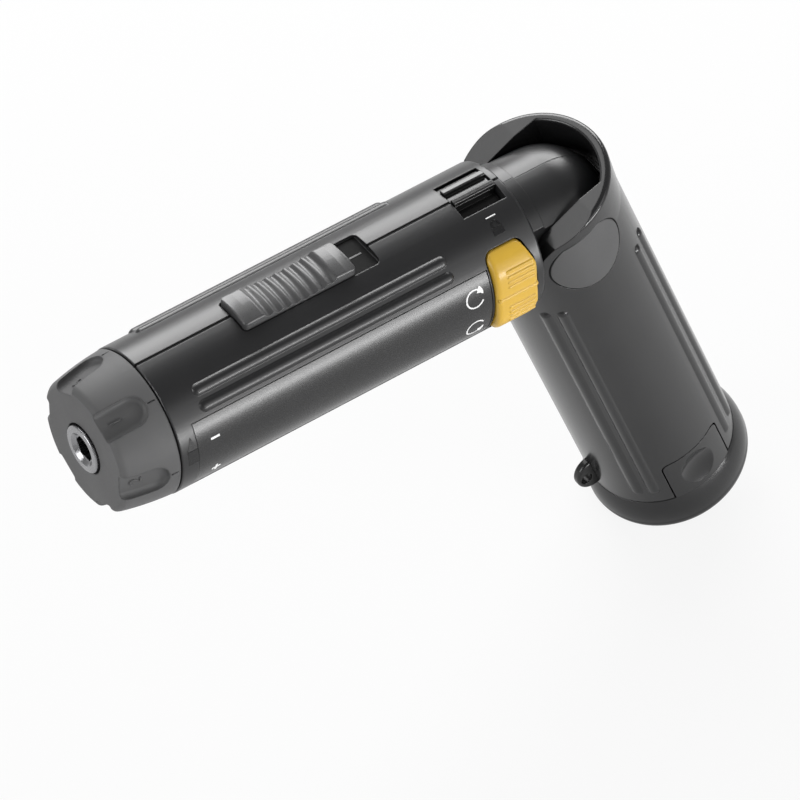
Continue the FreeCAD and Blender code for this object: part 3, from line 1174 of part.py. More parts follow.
def output_carrier():
    disc = sleeve(CARRIER_TWO_R, SPINDLE_STUB_R + PRESS_GAP, CARRIER_TWO_REAR, CARRIER_TWO_FRONT)
    return disc.fuse(planet_pins(PIN_TWO_REAR, CARRIER_TWO_REAR + SEAT_GAP))


def motor_can():
    shell = rod(MOTOR_R, CAN_REAR, CAN_FRONT)
    inside = rod(MOTOR_R - CAN_WALL, CAN_REAR - CUT_OVERRUN, CAN_FRONT - CAN_WALL)
    screw_holes = [rod(MOTOR_SCREW_R + SEAT_GAP, CAN_FRONT - CAN_WALL - CUT_OVERRUN, CAN_FRONT + CUT_OVERRUN,
                       side * MOTOR_SCREW_PLACE) for side in (1, -1)]
    bore = rod(BEARING_R + PRESS_GAP, CAN_FRONT - BEARING_LENGTH, CAN_FRONT + CUT_OVERRUN)
    return shell.cut([inside, bore] + screw_holes)


def motor_end_cap():
    cap = rod(MOTOR_R, END_CAP_REAR, CAN_REAR)
    slots = [block(END_CAP_REAR - CUT_OVERRUN, CAN_REAR + CUT_OVERRUN,
                   side * TERMINAL_Y - TERMINAL_HALF_WIDTH - PRESS_GAP,
                   side * TERMINAL_Y + TERMINAL_HALF_WIDTH + PRESS_GAP,
                   -TERMINAL_HALF_T - PRESS_GAP, TERMINAL_HALF_T + PRESS_GAP) for side in (1, -1)]
    return cap.cut(slots + [rod(BEARING_R + PRESS_GAP, END_CAP_REAR - CUT_OVERRUN, CAN_REAR + CUT_OVERRUN)])


def motor_terminals():
    return Part.makeCompound([
        block(TERMINAL_REAR, CAN_REAR, side * TERMINAL_Y - TERMINAL_HALF_WIDTH,
              side * TERMINAL_Y + TERMINAL_HALF_WIDTH, -TERMINAL_HALF_T, TERMINAL_HALF_T)
        for side in (1, -1)])


def motor_bearings():
    bore = SHAFT_R + RUNNING_FIT
    return Part.makeCompound([sleeve(BEARING_R, bore, END_CAP_REAR, END_CAP_REAR + BEARING_LENGTH),
                              sleeve(BEARING_R, bore, CAN_FRONT - BEARING_LENGTH, CAN_FRONT)])


def motor_magnets():
    outer = MOTOR_R - CAN_WALL - MAGNET_SEAT_GAP
    middle = QUARTER_TURN
    arcs = [sector(ARMATURE_R + MAGNET_GAP, outer, ARMATURE_REAR, ARMATURE_FRONT,
                   side * middle - MAGNET_SPREAD_ANGLE, side * middle + MAGNET_SPREAD_ANGLE)
            for side in (1, -1)]
    return Part.makeCompound(arcs)


def motor_shaft():
    return rod(SHAFT_R, SHAFT_REAR, PINION_FRONT)


def armature():
    """Slotted three-pole core with the wound ends as short drums."""
    core = rod(ARMATURE_R, ARMATURE_REAR, ARMATURE_FRONT)
    slot = block(ARMATURE_REAR - CUT_OVERRUN, ARMATURE_FRONT + CUT_OVERRUN, -ARMATURE_SLOT_HALF,
                 ARMATURE_SLOT_HALF, ARMATURE_CORE_R, FAR)
    ends = [rod(WINDING_R, ARMATURE_REAR - WINDING_LENGTH, ARMATURE_REAR),
            rod(WINDING_R, ARMATURE_FRONT, ARMATURE_FRONT + WINDING_LENGTH)]
    bore = rod(SHAFT_R + PRESS_GAP, CAN_REAR, CAN_FRONT)
    return core.cut(ring_of(slot, ARMATURE_POLES)).fuse(ends).cut(bore)


def commutator():
    return sleeve(COMMUTATOR_R, SHAFT_R + PRESS_GAP, COMMUTATOR_REAR, COMMUTATOR_FRONT)


def motor_plate():
    holes = [rod(MOTOR_SCREW_R + SEAT_GAP, PLATE_REAR - CUT_OVERRUN, CASE_REAR + CUT_OVERRUN,
                 side * MOTOR_SCREW_PLACE) for side in (1, -1)]
    return sleeve(CASE_R, SUN_HOLE_R, PLATE_REAR, CASE_REAR).cut(holes)


def motor_screws():
    screws = []
    for side in (1, -1):
        y = side * MOTOR_SCREW_PLACE
        screws.append(rod(MOTOR_SCREW_R, MOTOR_SCREW_TIP, CASE_REAR + SEAT_GAP, y).fuse(
            rod(MOTOR_SCREW_HEAD_R, CASE_REAR, CASE_REAR + MOTOR_SCREW_HEAD_H, y)))
    return Part.makeCompound(screws)


def in_handle(shape):
    """Barrel-side shape as the handle's own axes see it."""
    return spun(shape, -HANDLE_LEAN_ANGLE, ORIGIN, LEFT)


def hood():
    """Upper end of the handle, a little wider at the back of its rim."""
    low = Part.Wire(Part.makeCircle(HANDLE_R, ORIGIN, UP))
    high = Part.Wire(Part.makeCircle(HANDLE_R + HOOD_FLARE, Vector(-HOOD_SHIFT, 0, RIM_UP), UP))
    return rounded(Part.makeLoft([low, high], True, True), RIM_EDGE,
                   lambda edge: edge.BoundBox.ZMin > RIM_UP - RIM_EDGE)


def hood_room():
    """Room inside the hood, widened at the top to round the rim's inner edge."""
    room_r = HANDLE_R - HOOD_RIM_WALL
    edge_z = RIM_UP - RIM_INNER_EDGE
    flare = post(room_r + RIM_INNER_EDGE, edge_z, RIM_UP + CUT_OVERRUN).cut(
        Part.makeTorus(room_r + RIM_INNER_EDGE, RIM_INNER_EDGE, UP * edge_z, UP))
    return post(room_r, 0, RIM_UP + CUT_OVERRUN).fuse(flare)


def handle_ribs():
    centre_r = HANDLE_R + RIB_HEIGHT - RIB_R
    ribs = []
    for angle in HANDLE_RIB_ANGLES:
        turn = math.radians(angle)
        for side in (1, -1):
            outward = Vector(math.cos(turn), side * math.sin(turn), 0)
            ribs.append(capsule(RIB_R, outward * centre_r + UP * HANDLE_RIB_LOW,
                                outward * centre_r + UP * HANDLE_RIB_TOP, -outward))
    return ribs


def lug_block(gap, bottom):
    """Straight block over both grip lugs of the battery, widened by a gap."""
    solid = block(LUG_REAR - gap, LUG_FRONT + gap, -FAR, FAR, bottom, LUG_TOP + gap)
    return rounded(solid, LUG_CORNER,
                   lambda edge: runs_along(edge, LEFT) and edge.BoundBox.ZMin > LUG_TOP - LUG_CORNER)


def cap_shape(gap, inner_r, outer_r):
    """Hinge cap on the left: a round piece of the handle's surface with a straight upper side."""
    disc = cross_rod(CAP_R + gap, 0, FAR)
    lower = block(-FAR, FAR, -FAR, FAR, -FAR, CAP_CHORD + gap)
    return disc.common(lower).common(post(outer_r, -FAR, FAR)).cut(post(inner_r, -FAR, FAR))


def handle_shell():
    """Handle tube with the hinge hood, its ears, the battery chamber and the raised ribs."""
    body = post(HANDLE_R, HANDLE_SEAM, 0).fuse([hood()] + handle_ribs()).removeSplitter()

    well = slab(EAR_INNER_Y)
    upper = hood_room().common(well)
    lower = cross_rod(NECK_R + KNUCKLE_GAP, -EAR_INNER_Y, EAR_INNER_Y).common(
        post(CAVITY_R, -FAR, CUT_OVERRUN))
    opening_r = COLLAR_R + NECK_OPENING_GAP
    front = rod(opening_r, 0, FAR).fuse(block(0, FAR, -opening_r, opening_r, 0, FAR)).common(well)
    barrel_room = rod(BARREL_R + BARREL_GAP, BARREL_REAR - BARREL_GAP, FAR)
    ear_slope = spun(block(EAR_CUT_DISTANCE, FAR, -FAR, FAR, -FAR, FAR), -EAR_CUT_ANGLE, ORIGIN, LEFT)
    ahead = block(0, FAR, -FAR, FAR, 0, FAR)
    ear_round = ahead.common(in_handle(ahead)).cut(cross_rod(EAR_R, -FAR, FAR))
    body = body.cut([upper, lower, in_handle(front), in_handle(barrel_room), ear_slope, ear_round])

    chambers = [post(CHAMBER_R, LOWER_CEILING, UPPER_FLOOR),
                post(CHAMBER_R, HANDLE_SEAM - CUT_OVERRUN, LOWER_FLOOR),
                post(WIRE_HOLE_R, LOWER_FLOOR - CUT_OVERRUN, 0, WIRE_HOLE_X)]
    sides = [cross_rod(PIVOT_R + PRESS_GAP, 0, FAR),
             cross_rod(PIVOT_HEAD_R + SEAT_GAP, PIVOT_HEAD_INNER_Y, FAR),
             cross_rod(FRICTION_WASHER_R + SEAT_GAP, 0, EAR_INNER_Y + FRICTION_WASHER_T),
             cap_shape(CAP_GAP, HANDLE_R - CAP_DEPTH, HANDLE_R + CUT_OVERRUN)]
    blade_slots = [block(-BLADE_HALF_X - SEAT_GAP, BLADE_HALF_X + SEAT_GAP,
                         side * CONTACT_Y - BLADE_T, side * CONTACT_Y + BLADE_T,
                         LOWER_FLOOR - CUT_OVERRUN, LOWER_CEILING + CUT_OVERRUN) for side in (1, -1)]
    stud = Part.makeCylinder(EYELET_STUD_R + PRESS_GAP, FAR, Vector(CHAMBER_R - CUT_OVERRUN, 0, EYELET_Z),
                             ALONG)
    return body.cut(chambers + sides + [mirrored(tool) for tool in sides] + blade_slots
                    + [lug_block(LUG_GAP, HANDLE_SEAM - CUT_OVERRUN), stud])


def hinge_cap():
    return cap_shape(0, HANDLE_R - CAP_DEPTH + SEAT_GAP, HANDLE_R + CAP_PROUD)


def pivot_pins():
    pin = cross_rod(PIVOT_R, PIVOT_TIP_Y, PIVOT_HEAD_OUTER_Y).fuse(
        cross_rod(PIVOT_HEAD_R, PIVOT_HEAD_INNER_Y, PIVOT_HEAD_OUTER_Y))
    return Part.makeCompound([pin, mirrored(pin)])


def pivot_washers():
    washer = cross_rod(FRICTION_WASHER_R, EAR_INNER_Y, EAR_INNER_Y + FRICTION_WASHER_T - PRESS_GAP).cut(
        cross_rod(PIVOT_R + RUNNING_FIT, 0, FAR))
    return Part.makeCompound([washer, mirrored(washer)])


def strap_eyelet():
    """Small loop for a wrist strap, with a stud through the handle's wall."""
    tab = rounded(cross_rod(EYELET_R, -EYELET_HALF_T, EYELET_HALF_T, EYELET_X, EYELET_Z), EYELET_EDGE,
                  lambda edge: isinstance(edge.Curve, Part.Circle))
    tab = tab.cut([post(HANDLE_R + PRESS_GAP, -FAR, 0),
                   cross_rod(EYELET_HOLE_R, -FAR, FAR, EYELET_HOLE_X, EYELET_Z)])
    stud = Part.makeCylinder(EYELET_STUD_R, EYELET_STUD_LENGTH + EYELET_STUD_BITE,
                             Vector(EYELET_STUD_INNER, 0, EYELET_Z), ALONG)
    return tab.fuse(stud)


def scoop():
    """Thumb hollow in the left grip lug, deepest and sharpest at its lower end."""
    low = Vector(SCOOP_X, HANDLE_R + SCOOP_R - SCOOP_DEPTH, SCOOP_Z)
    tilt = math.radians(SCOOP_TILT_ANGLE)
    high = low + Vector(0, math.sin(tilt), math.cos(tilt)) * SCOOP_LENGTH
    return capsule(SCOOP_R, low, high, Vector(0, math.cos(tilt), -math.sin(tilt)))


def battery_cap():
    """Flared end of the battery with its two grip lugs."""
    top = HANDLE_SEAM - BASE_SEAM_GAP
    side = Part.Arc(Vector(HANDLE_R, 0, top), Vector(BASE_BULGE_R, 0, BASE_BULGE_Z),
                    Vector(BASE_WIDE_R, 0, BASE_WIDE_Z)).toShape()
    foot = Part.Arc(Vector(BASE_WIDE_R, 0, BASE_WIDE_Z), Vector(BASE_ROUND_R, 0, BASE_ROUND_Z),
                    Vector(BASE_FOOT_R, 0, BASE_BOTTOM)).toShape()
    ends = [Vector(BASE_FOOT_R, 0, BASE_BOTTOM), Vector(0, 0, BASE_BOTTOM), Vector(0, 0, top),
            Vector(HANDLE_R, 0, top)]
    lines = [Part.makeLine(a, b) for a, b in zip(ends, ends[1:])]
    body = Part.Face(Part.Wire([side, foot] + lines)).revolve(ORIGIN, UP, FULL_TURN)
    hollow_r = CASE_TUBE_R + CAP_HOLLOW_GAP
    body = body.cut(post(hollow_r, CASE_TUBE_LOW - CAP_HOLLOW_GAP, top + CUT_OVERRUN))
    wall = post(HANDLE_R, top - CUT_OVERRUN, 0).cut(post(HANDLE_R - LUG_WALL, -FAR, CUT_OVERRUN))
    lugs = wall.common(lug_block(0, top - CUT_OVERRUN))
    return body.fuse(lugs).cut([scoop(), mirrored(scoop())]).removeSplitter()


def battery_case():
    tube = post(CASE_TUBE_R, CASE_TUBE_LOW, CASE_TUBE_TOP)
    return tube.cut(post(CASE_TUBE_R - CASE_TUBE_WALL, CASE_TUBE_LOW - CUT_OVERRUN,
                         CASE_TUBE_TOP - CASE_TUBE_LID))


def battery_cells():
    cells = []
    for i in range(CELLS):
        turn = math.radians(FULL_TURN * i / CELLS)
        x, y = CELL_CIRCLE_R * math.cos(turn), CELL_CIRCLE_R * math.sin(turn)
        can = post(CELL_R, CELL_LOW, CELL_HIGH, x, y)
        cells.append(can.fuse(post(CELL_NUB_R, CELL_HIGH, CELL_HIGH + CELL_NUB_H, x, y)))
    return Part.makeCompound(cells)


def battery_contacts():
    return Part.makeCompound([
        block(-CONTACT_HALF_X, CONTACT_HALF_X, side * CONTACT_Y - CONTACT_HALF_Y,
              side * CONTACT_Y + CONTACT_HALF_Y, CASE_TUBE_TOP, CASE_TUBE_TOP + CONTACT_T)
        for side in (1, -1)])


def terminal_block():
    body = block(-BLOCK_HALF_X, BLOCK_HALF_X, -BLOCK_HALF_Y, BLOCK_HALF_Y, BLOCK_LOW, LOWER_FLOOR)
    slots = [block(-BLADE_HALF_X - SEAT_GAP, BLADE_HALF_X + SEAT_GAP, side * CONTACT_Y - BLADE_T,
                   side * CONTACT_Y + BLADE_T, BLOCK_LOW - CUT_OVERRUN, LOWER_FLOOR + CUT_OVERRUN)
             for side in (1, -1)]
    return body.cut(slots)


def terminal_blades():
    half = BLADE_T * HALF_SHARE
    return Part.makeCompound([
        block(-BLADE_HALF_X, BLADE_HALF_X, side * CONTACT_Y - half, side * CONTACT_Y + half,
              CASE_TUBE_TOP + CONTACT_T + BLADE_GAP, BLADE_TOP) for side in (1, -1)])


def barrel_pieces():
    whole = housing()
    pieces = {
        "housing_left": housing_half(whole, 1), "housing_right": housing_half(whole, -1),
        "housing_screws": housing_screws(), "side_label": side_label(),
        "speed_slider": speed_slider(), "shift_fork": shift_fork(), "shift_ring_gear": shift_ring_gear(),
        "lock_slider": lock_slider(), "rocker_button": rocker_button(), "rocker_pin": rocker_pin(),
        "switch_module": switch_module(), "torque_dial": torque_dial(), "spindle": spindle(),
        "bit_magnet": bit_magnet(), "spindle_bushes": spindle_bushes(), "gear_case": gear_case(),
        "output_ring_gear": output_ring_gear(), "clutch_balls": clutch_balls(),
        "clutch_washer": clutch_washer(), "clutch_spring": clutch_spring(), "clutch_nut": clutch_nut(),
        "motor_pinion": motor_pinion(), "first_carrier": first_carrier(), "pin_plate": pin_plate(),
        "output_carrier": output_carrier(), "motor_can": motor_can(), "motor_end_cap": motor_end_cap(),
        "motor_terminals": motor_terminals(), "motor_bearings": motor_bearings(),
        "motor_magnets": motor_magnets(), "motor_shaft": motor_shaft(), "armature": armature(),
        "commutator": commutator(), "motor_plate": motor_plate(), "motor_screws": motor_screws(),
    }
    for letter, place in zip("abc", pin_places()):
        pieces["planet_one_" + letter] = planet(PLANET_ONE_REAR, PLANET_ONE_FRONT, place)
        pieces["planet_two_" + letter] = planet(PLANET_TWO_REAR, PLANET_TWO_FRONT, place)
    return pieces


def handle_pieces():
    return {
        "handle_shell": handle_shell(), "hinge_cap_left": hinge_cap(),
        "hinge_cap_right": mirrored(hinge_cap()), "pivot_pins": pivot_pins(),
        "pivot_washers": pivot_washers(), "strap_eyelet": strap_eyelet(),
        "terminal_block": terminal_block(), "terminal_blades": terminal_blades(),
        "battery_cap": battery_cap(), "battery_case": battery_case(), "battery_cells": battery_cells(),
        "battery_contacts": battery_contacts(),
    }


os.makedirs("parts", exist_ok=True)
placed = barrel_pieces()
placed.update({name: spun(shape, HANDLE_LEAN_ANGLE, ORIGIN, LEFT) for name, shape in handle_pieces().items()})
for name, shape in placed.items():
    shape.translate(ALONG * -SOCKET_TO_HINGE)
    shape.exportStep("parts/" + name + ".step")
    print(name, "solids", len(shape.Solids), "volume", round(shape.Volume, 1), "valid", shape.isValid())
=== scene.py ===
import json
import math

import bmesh
import bpy
from mathutils import Matrix, Vector


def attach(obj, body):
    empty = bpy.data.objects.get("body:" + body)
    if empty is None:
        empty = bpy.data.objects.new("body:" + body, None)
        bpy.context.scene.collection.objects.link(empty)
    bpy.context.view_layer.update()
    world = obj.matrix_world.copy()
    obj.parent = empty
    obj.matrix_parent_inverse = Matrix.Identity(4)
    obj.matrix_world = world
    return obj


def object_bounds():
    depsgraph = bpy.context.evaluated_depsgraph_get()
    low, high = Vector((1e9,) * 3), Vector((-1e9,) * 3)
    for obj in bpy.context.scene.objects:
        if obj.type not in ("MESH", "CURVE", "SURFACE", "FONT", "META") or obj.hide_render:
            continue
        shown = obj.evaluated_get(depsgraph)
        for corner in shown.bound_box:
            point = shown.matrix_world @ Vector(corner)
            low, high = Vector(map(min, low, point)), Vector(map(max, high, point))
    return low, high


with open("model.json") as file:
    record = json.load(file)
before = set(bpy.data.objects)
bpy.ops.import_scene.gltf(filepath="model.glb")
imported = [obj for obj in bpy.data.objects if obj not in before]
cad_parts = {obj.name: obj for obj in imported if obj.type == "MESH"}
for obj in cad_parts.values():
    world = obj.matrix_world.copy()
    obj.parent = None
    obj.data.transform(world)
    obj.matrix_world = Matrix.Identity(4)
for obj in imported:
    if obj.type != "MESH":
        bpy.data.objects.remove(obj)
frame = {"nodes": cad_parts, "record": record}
cad_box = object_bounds()

# Looks of a folding battery screwdriver, in metres, with +X out of the nose and Z up. Places on the barrel
# are given in mm ahead of the hinge and in degrees from the top towards the tool's left.
MM = 0.001
HALF = 0.5
HALF_TURN = 180
FULL_TURN = 360
HINGE = Vector((-0.140, 0, 0))

# Camera: axes, distance from the hinge and aim
VIEW_RIGHT = Vector((-0.80484, 0.59333, 0.01406))
VIEW_UP = Vector((-0.41901, -0.58483, 0.69455))
VIEW_BACK = Vector((0.42032, 0.55311, 0.71931))
VIEW_DISTANCE = 2.042
AIM_RIGHT = 0.01754
AIM_UP = 0.02341
LENS_MM = 365.6
SENSOR_MM = 36.0
VIEW_REACH = 50

# Noise range, and grain, patches and sheen of plastics and metals (features per metre, depths in mm)
NOISE_LOW = 0.3
NOISE_HIGH = 0.7
EDGE_SAMPLES = 6
PLASTIC_IOR = 1.5
PLASTIC_GRAIN_DETAIL = 3
PLASTIC_GRAIN_DEPTH = 0.05
PLASTIC_PATCHES = 90
PLASTIC_PATCH_DETAIL = 4
PLASTIC_SHEEN = (-0.04, 0.05)
METAL_MARKS = 2500
METAL_MARK_DETAIL = 2
METAL_MARK_DEPTH = 0.02
METAL_MARK_STRENGTH = 0.15
METAL_EDGE = 0.15
METAL_PATCHES = 160
METAL_PATCH_DETAIL = 3
METAL_SPREAD = 0.08
METAL_SHEEN = (-0.07, 0.08)
EVEN = (1, 1, 1)
TURNED = (0.06, 1, 1)

PLASTICS = {
    "barrel_black": dict(colour=(0.0135, 0.0135, 0.0142), roughness=0.33, grain_mm=0.22, strength=0.03),
    "handle_grey": dict(colour=(0.014, 0.014, 0.0145), roughness=0.17, grain_mm=0.30, strength=0.02),
    "hinge_cap_grey": dict(colour=(0.060, 0.060, 0.061), roughness=0.46, grain_mm=0.28, strength=0.10),
    "dial_grey": dict(colour=(0.090, 0.090, 0.091), roughness=0.52, grain_mm=0.30, strength=0.12,
                      gloss=0.25, edge_mm=0.7),
    "slider_grey": dict(colour=(0.053, 0.053, 0.054), roughness=0.30, grain_mm=0.25, strength=0.05),
    "amber": dict(colour=(0.56, 0.345, 0.038), roughness=0.32, grain_mm=0.30, strength=0.05, spread=0.05),
    "black_plastic": dict(colour=(0.008, 0.008, 0.008), roughness=0.22, grain_mm=0.25, strength=0.02),
    "label_dark": dict(colour=(0.016, 0.016, 0.0165), roughness=0.25, grain_mm=0.18, strength=0.05,
                       edge_mm=0.15),
    "white_nylon": dict(colour=(0.70, 0.70, 0.66), roughness=0.45, grain_mm=0.30, strength=0.10),
    "cell_sleeve": dict(colour=(0.05, 0.16, 0.10), roughness=0.28, grain_mm=0.40, strength=0.05),
    "white_print": dict(colour=(0.78, 0.78, 0.78), roughness=0.45, grain_mm=0.20, strength=0.05,
                        spread=0.03, edge_mm=0.05),
    "dark_relief": dict(colour=(0.0085, 0.0085, 0.009), roughness=0.24, grain_mm=0.25, strength=0.05,
                        edge_mm=0.08),
    # Painted highlight: the next material paints raised numerals lighter than the black housing, for the
    # light their relief catches
    "painted_highlight_grey": dict(colour=(0.060, 0.060, 0.061), roughness=0.34, grain_mm=0.25, strength=0.05,
                        edge_mm=0.08),
    # Painted shade: the next material is near-black matt paint laid in the seam grooves, the gaps round the
    # hinge caps and the slot's floor
    "shade_black": dict(colour=(0.0035, 0.0035, 0.0035), roughness=0.70, grain_mm=0.25, strength=0.05,
                        gloss=0.15, edge_mm=0.05),
}
METALS = {
    "spindle_steel": dict(colour=(0.31, 0.31, 0.32), roughness=0.24, stretch=TURNED),
    "plain_steel": dict(colour=(0.46, 0.46, 0.47), roughness=0.30, stretch=TURNED),
    "gear_steel": dict(colour=(0.34, 0.34, 0.35), roughness=0.34),
    "bronze": dict(colour=(0.50, 0.31, 0.12), roughness=0.38),
    "magnet_dark": dict(colour=(0.10, 0.10, 0.105), roughness=0.55),
    "contact_brass": dict(colour=(0.66, 0.48, 0.20), roughness=0.26),
}

# Radii, heights and depths of the marks (mm)
BARREL_R = 20.0
LABEL_R = 19.88
SLOT_FLOOR = 18.4
MARK_HEIGHT = 0.05
RELIEF_HEIGHT = 0.12
MARK_DEPTH = 0.1

# Turning arrows beside the rocker: angle round the barrel and sense of each, then their shape
ARROW_X = 34.9
ARROWS = {"arrow_forward": (74.5, 1), "arrow_reverse": (104.0, -1)}
ARROW_R = 2.55
ARROW_ARC = (-28, -298)
ARROW_STEPS = 40
ARROW_HALF_WIDTH = 0.21
ARROW_HEAD_ARC = (-300, -346)
ARROW_HEAD_STEPS = 8
ARROW_HEAD_HALF = 1.0
ARROW_TIP_HALF = 0.03

# Minus and plus signs on the label's front end
MINUS_PLACE = (113.4, 75.6)
PLUS_PLACE = (113.1, 108.8)
PLUS_ARMS = 4
SIGN_HALF = 1.3
SIGN_LINE = 0.33

# Lock line with a padlock below it
LOCK_LINE_PLACE = (22.5, 24.5)
LOCK_LINE_HALF = 1.45
LOCK_LINE_WIDTH = 0.15
LOCK_SIGN_PLACE = (22.5, 34.0)
LOCK_BODY_HALF = 1.6
LOCK_BODY_LOW = -1.7
LOCK_BODY_HIGH = 0.4
SHACKLE_R = 1.0
SHACKLE_RISE = 0.9
SHACKLE_HALF = 0.24
SHACKLE_STEPS = 12

# Arrow that points at the dial's setting
POINTER_PLACE = (120.3, 76.3)
POINTER_HALF = 1.45
POINTER_RISE = 3.6
POINTER_TAIL_GAP = 0.35
POINTER_TAIL_HALF = 1.5
POINTER_TAIL = 4.4

# Painted shade: dark strips laid in the seam grooves, where the deep gap between the halves falls into
# shade; angle round the barrel, rear end and front end of each
SEAM_R = 19.75
SEAM_HALF = 0.36
SEAM_SHADE_STRIPS = {"seam_shade_lock": (0, 14.4, 15.7), "seam_shade_rear": (0, 29.1, 53.7),
               "seam_shade_front": (0, 95.4, 123.2), "seam_shade_under": (180, 14.4, 123.2)}

# Painted shade: dark line in the gap round each hinge cap, where the gap falls into shade, in the handle's
# own axes
HANDLE_LEAN = 20.0
HANDLE_GAP_R = 20.22
CAP_SHADE_SIDES = {"cap_shade_left": 1, "cap_shade_right": -1}
CAP_LINE_R = 10.7
CAP_LINE_TOP = 9.1
CAP_LINE_HALF = 0.21
CAP_LINE_STEPS = 60

# Painted shade on the floor at the two ends of the slider's slot, where the recess falls into shade, with
# its numerals
SLOT_SHADE_PLATES = {"slot_shade_rear": (54.3, 69.6), "slot_shade_front": (79.6, 94.9)}
SLOT_PLATE_HALF = 5.6
SLOT_PLATE_HEIGHT = 0.02
SPEED_NUMERALS = {"1": 57.6, "2": 92.0}
SPEED_NUMERAL_SIZE = 5.4

# Numerals in the dial's recesses and tick lines behind them
DIAL_STEPS = 6
DIAL_FIRST_ANGLE = 30.0
RECESS_REAR = (126.8, 18.0)
RECESS_FACE = (139.2, 15.1)
DIAL_NUMERAL_X = 134.9
DIAL_NUMERAL_SIZE = 4.6
DIAL_NUMERAL_HEIGHT = 0.3
TICK_X = 125.4
TICK_R = 19.72
TICK_HALF = 1.3
TICK_WIDTH = 0.17
NUMERAL_CURVE_STEPS = 6
NUMERAL_WELD = 0.001

# Studio: floor, surroundings and lamps (place from the object's middle, width, height, power in watts)
FLOOR_HALF = 12.0
FLOOR_DROP = 0.5
FLOOR_COLOUR = (0.54, 0.54, 0.54, 1)
FLOOR_ROUGHNESS = 0.9
CAMERA_WHITE = 0.88
REFLECTED_WHITE = 0.28
HORIZON_LIGHT = 0.5
ZENITH_LIGHT = 0.18
ZENITH_FROM = 0.75
CENTRE = Vector((-0.10, 0, -0.03))
LAMPS = {
    "left_strip": ((-0.36, 0.93, 0.05), 0.9, 0.18, 8.4),
    "left_glow": ((-0.36, 0.85, 0.50), 1.2, 0.6, 2.8),
    "far_box": ((-0.40, -0.74, 0.54), 1.1, 0.5, 15),
    "front_fill": ((1.4, -0.10, 0.55), 0.9, 0.9, 12),
    "top_box": ((0.10, -0.56, 0.82), 0.7, 0.45, 2.4),
}


def node_material(name):
    """New node material with its tree and its shader."""
    material = bpy.data.materials.new(name)
    material.use_nodes = True
    tree = material.node_tree
    return material, tree, tree.nodes["Principled BSDF"]


def noise(tree, scale, detail, stretch=EVEN):
    """Noise in object space; the scale counts features per metre."""
    place = tree.nodes.new("ShaderNodeTexCoord")
    mapping = tree.nodes.new("ShaderNodeMapping")
    mapping.inputs["Scale"].default_value = stretch
    tree.links.new(place.outputs["Object"], mapping.inputs["Vector"])
    texture = tree.nodes.new("ShaderNodeTexNoise")
    texture.inputs["Scale"].default_value = scale
    texture.inputs["Detail"].default_value = detail
    tree.links.new(mapping.outputs["Vector"], texture.inputs["Vector"])
    return texture.outputs["Fac"]


def ramp(tree, factor, low, high):
    """Maps a noise factor onto a range of values."""
    node = tree.nodes.new("ShaderNodeMapRange")
    node.inputs["From Min"].default_value = NOISE_LOW
    node.inputs["From Max"].default_value = NOISE_HIGH
    node.inputs["To Min"].default_value = low
    node.inputs["To Max"].default_value = high
    tree.links.new(factor, node.inputs["Value"])
    return node.outputs["Result"]


def tint(tree, factor, colour, spread):
    """Colour that varies by a share either way with a noise factor."""
    node = tree.nodes.new("ShaderNodeMix")
    node.data_type = "RGBA"
    node.inputs["A"].default_value = [c * (1 - spread) for c in colour] + [1]
    node.inputs["B"].default_value = [c * (1 + spread) for c in colour] + [1]
    tree.links.new(ramp(tree, factor, 0, 1), node.inputs["Factor"])
    return node.outputs["Result"]


def sheen(tree, shader, factor, roughness, spread):
    """Roughness that varies with a noise factor between two offsets."""
    low, high = spread
    tree.links.new(ramp(tree, factor, roughness + low, roughness + high), shader.inputs["Roughness"])


def grain(tree, shader, factor, strength, depth_mm, edge_mm):
    """Surface grain on softly broken edges."""
    edges = tree.nodes.new("ShaderNodeBevel")
    edges.samples = EDGE_SAMPLES
    edges.inputs["Radius"].default_value = edge_mm * MM
    bump = tree.nodes.new("ShaderNodeBump")
    bump.inputs["Strength"].default_value = strength
    bump.inputs["Distance"].default_value = depth_mm * MM
    tree.links.new(factor, bump.inputs["Height"])
    tree.links.new(edges.outputs["Normal"], bump.inputs["Normal"])
    tree.links.new(bump.outputs["Normal"], shader.inputs["Normal"])


def plastic(name, colour, roughness, grain_mm, strength, spread=0.08, gloss=0.5, edge_mm=0.35):
    """Moulded plastic with a fine surface grain and a slight unevenness of colour and sheen."""
    material, tree, shader = node_material(name)
    fine = noise(tree, 1 / (grain_mm * MM), PLASTIC_GRAIN_DETAIL)
    broad = noise(tree, PLASTIC_PATCHES, PLASTIC_PATCH_DETAIL)
    tree.links.new(tint(tree, broad, colour, spread), shader.inputs["Base Color"])
    sheen(tree, shader, fine, roughness, PLASTIC_SHEEN)
    grain(tree, shader, fine, strength, PLASTIC_GRAIN_DEPTH, edge_mm)
    shader.inputs["IOR"].default_value = PLASTIC_IOR
    shader.inputs["Specular IOR Level"].default_value = gloss
    return material


def metal(name, colour, roughness, stretch=EVEN):
    """Machined metal with fine tool marks, drawn out along one direction by a stretch."""
    material, tree, shader = node_material(name)
    marks = noise(tree, METAL_MARKS, METAL_MARK_DETAIL, stretch)
    broad = noise(tree, METAL_PATCHES, METAL_PATCH_DETAIL)
    tree.links.new(tint(tree, broad, colour, METAL_SPREAD), shader.inputs["Base Color"])
    sheen(tree, shader, marks, roughness, METAL_SHEEN)
    grain(tree, shader, marks, METAL_MARK_STRENGTH, METAL_MARK_DEPTH, METAL_EDGE)
    shader.inputs["Metallic"].default_value = 1
    return material


materials = {name: plastic(name, **look) for name, look in PLASTICS.items()}
materials.update({name: metal(name, **look) for name, look in METALS.items()})
for part in frame["record"]["subparts"]:
    node = frame["nodes"][part["node"]]
    node.data.materials.clear()
    node.data.materials.append(materials[part["material_slot"]])


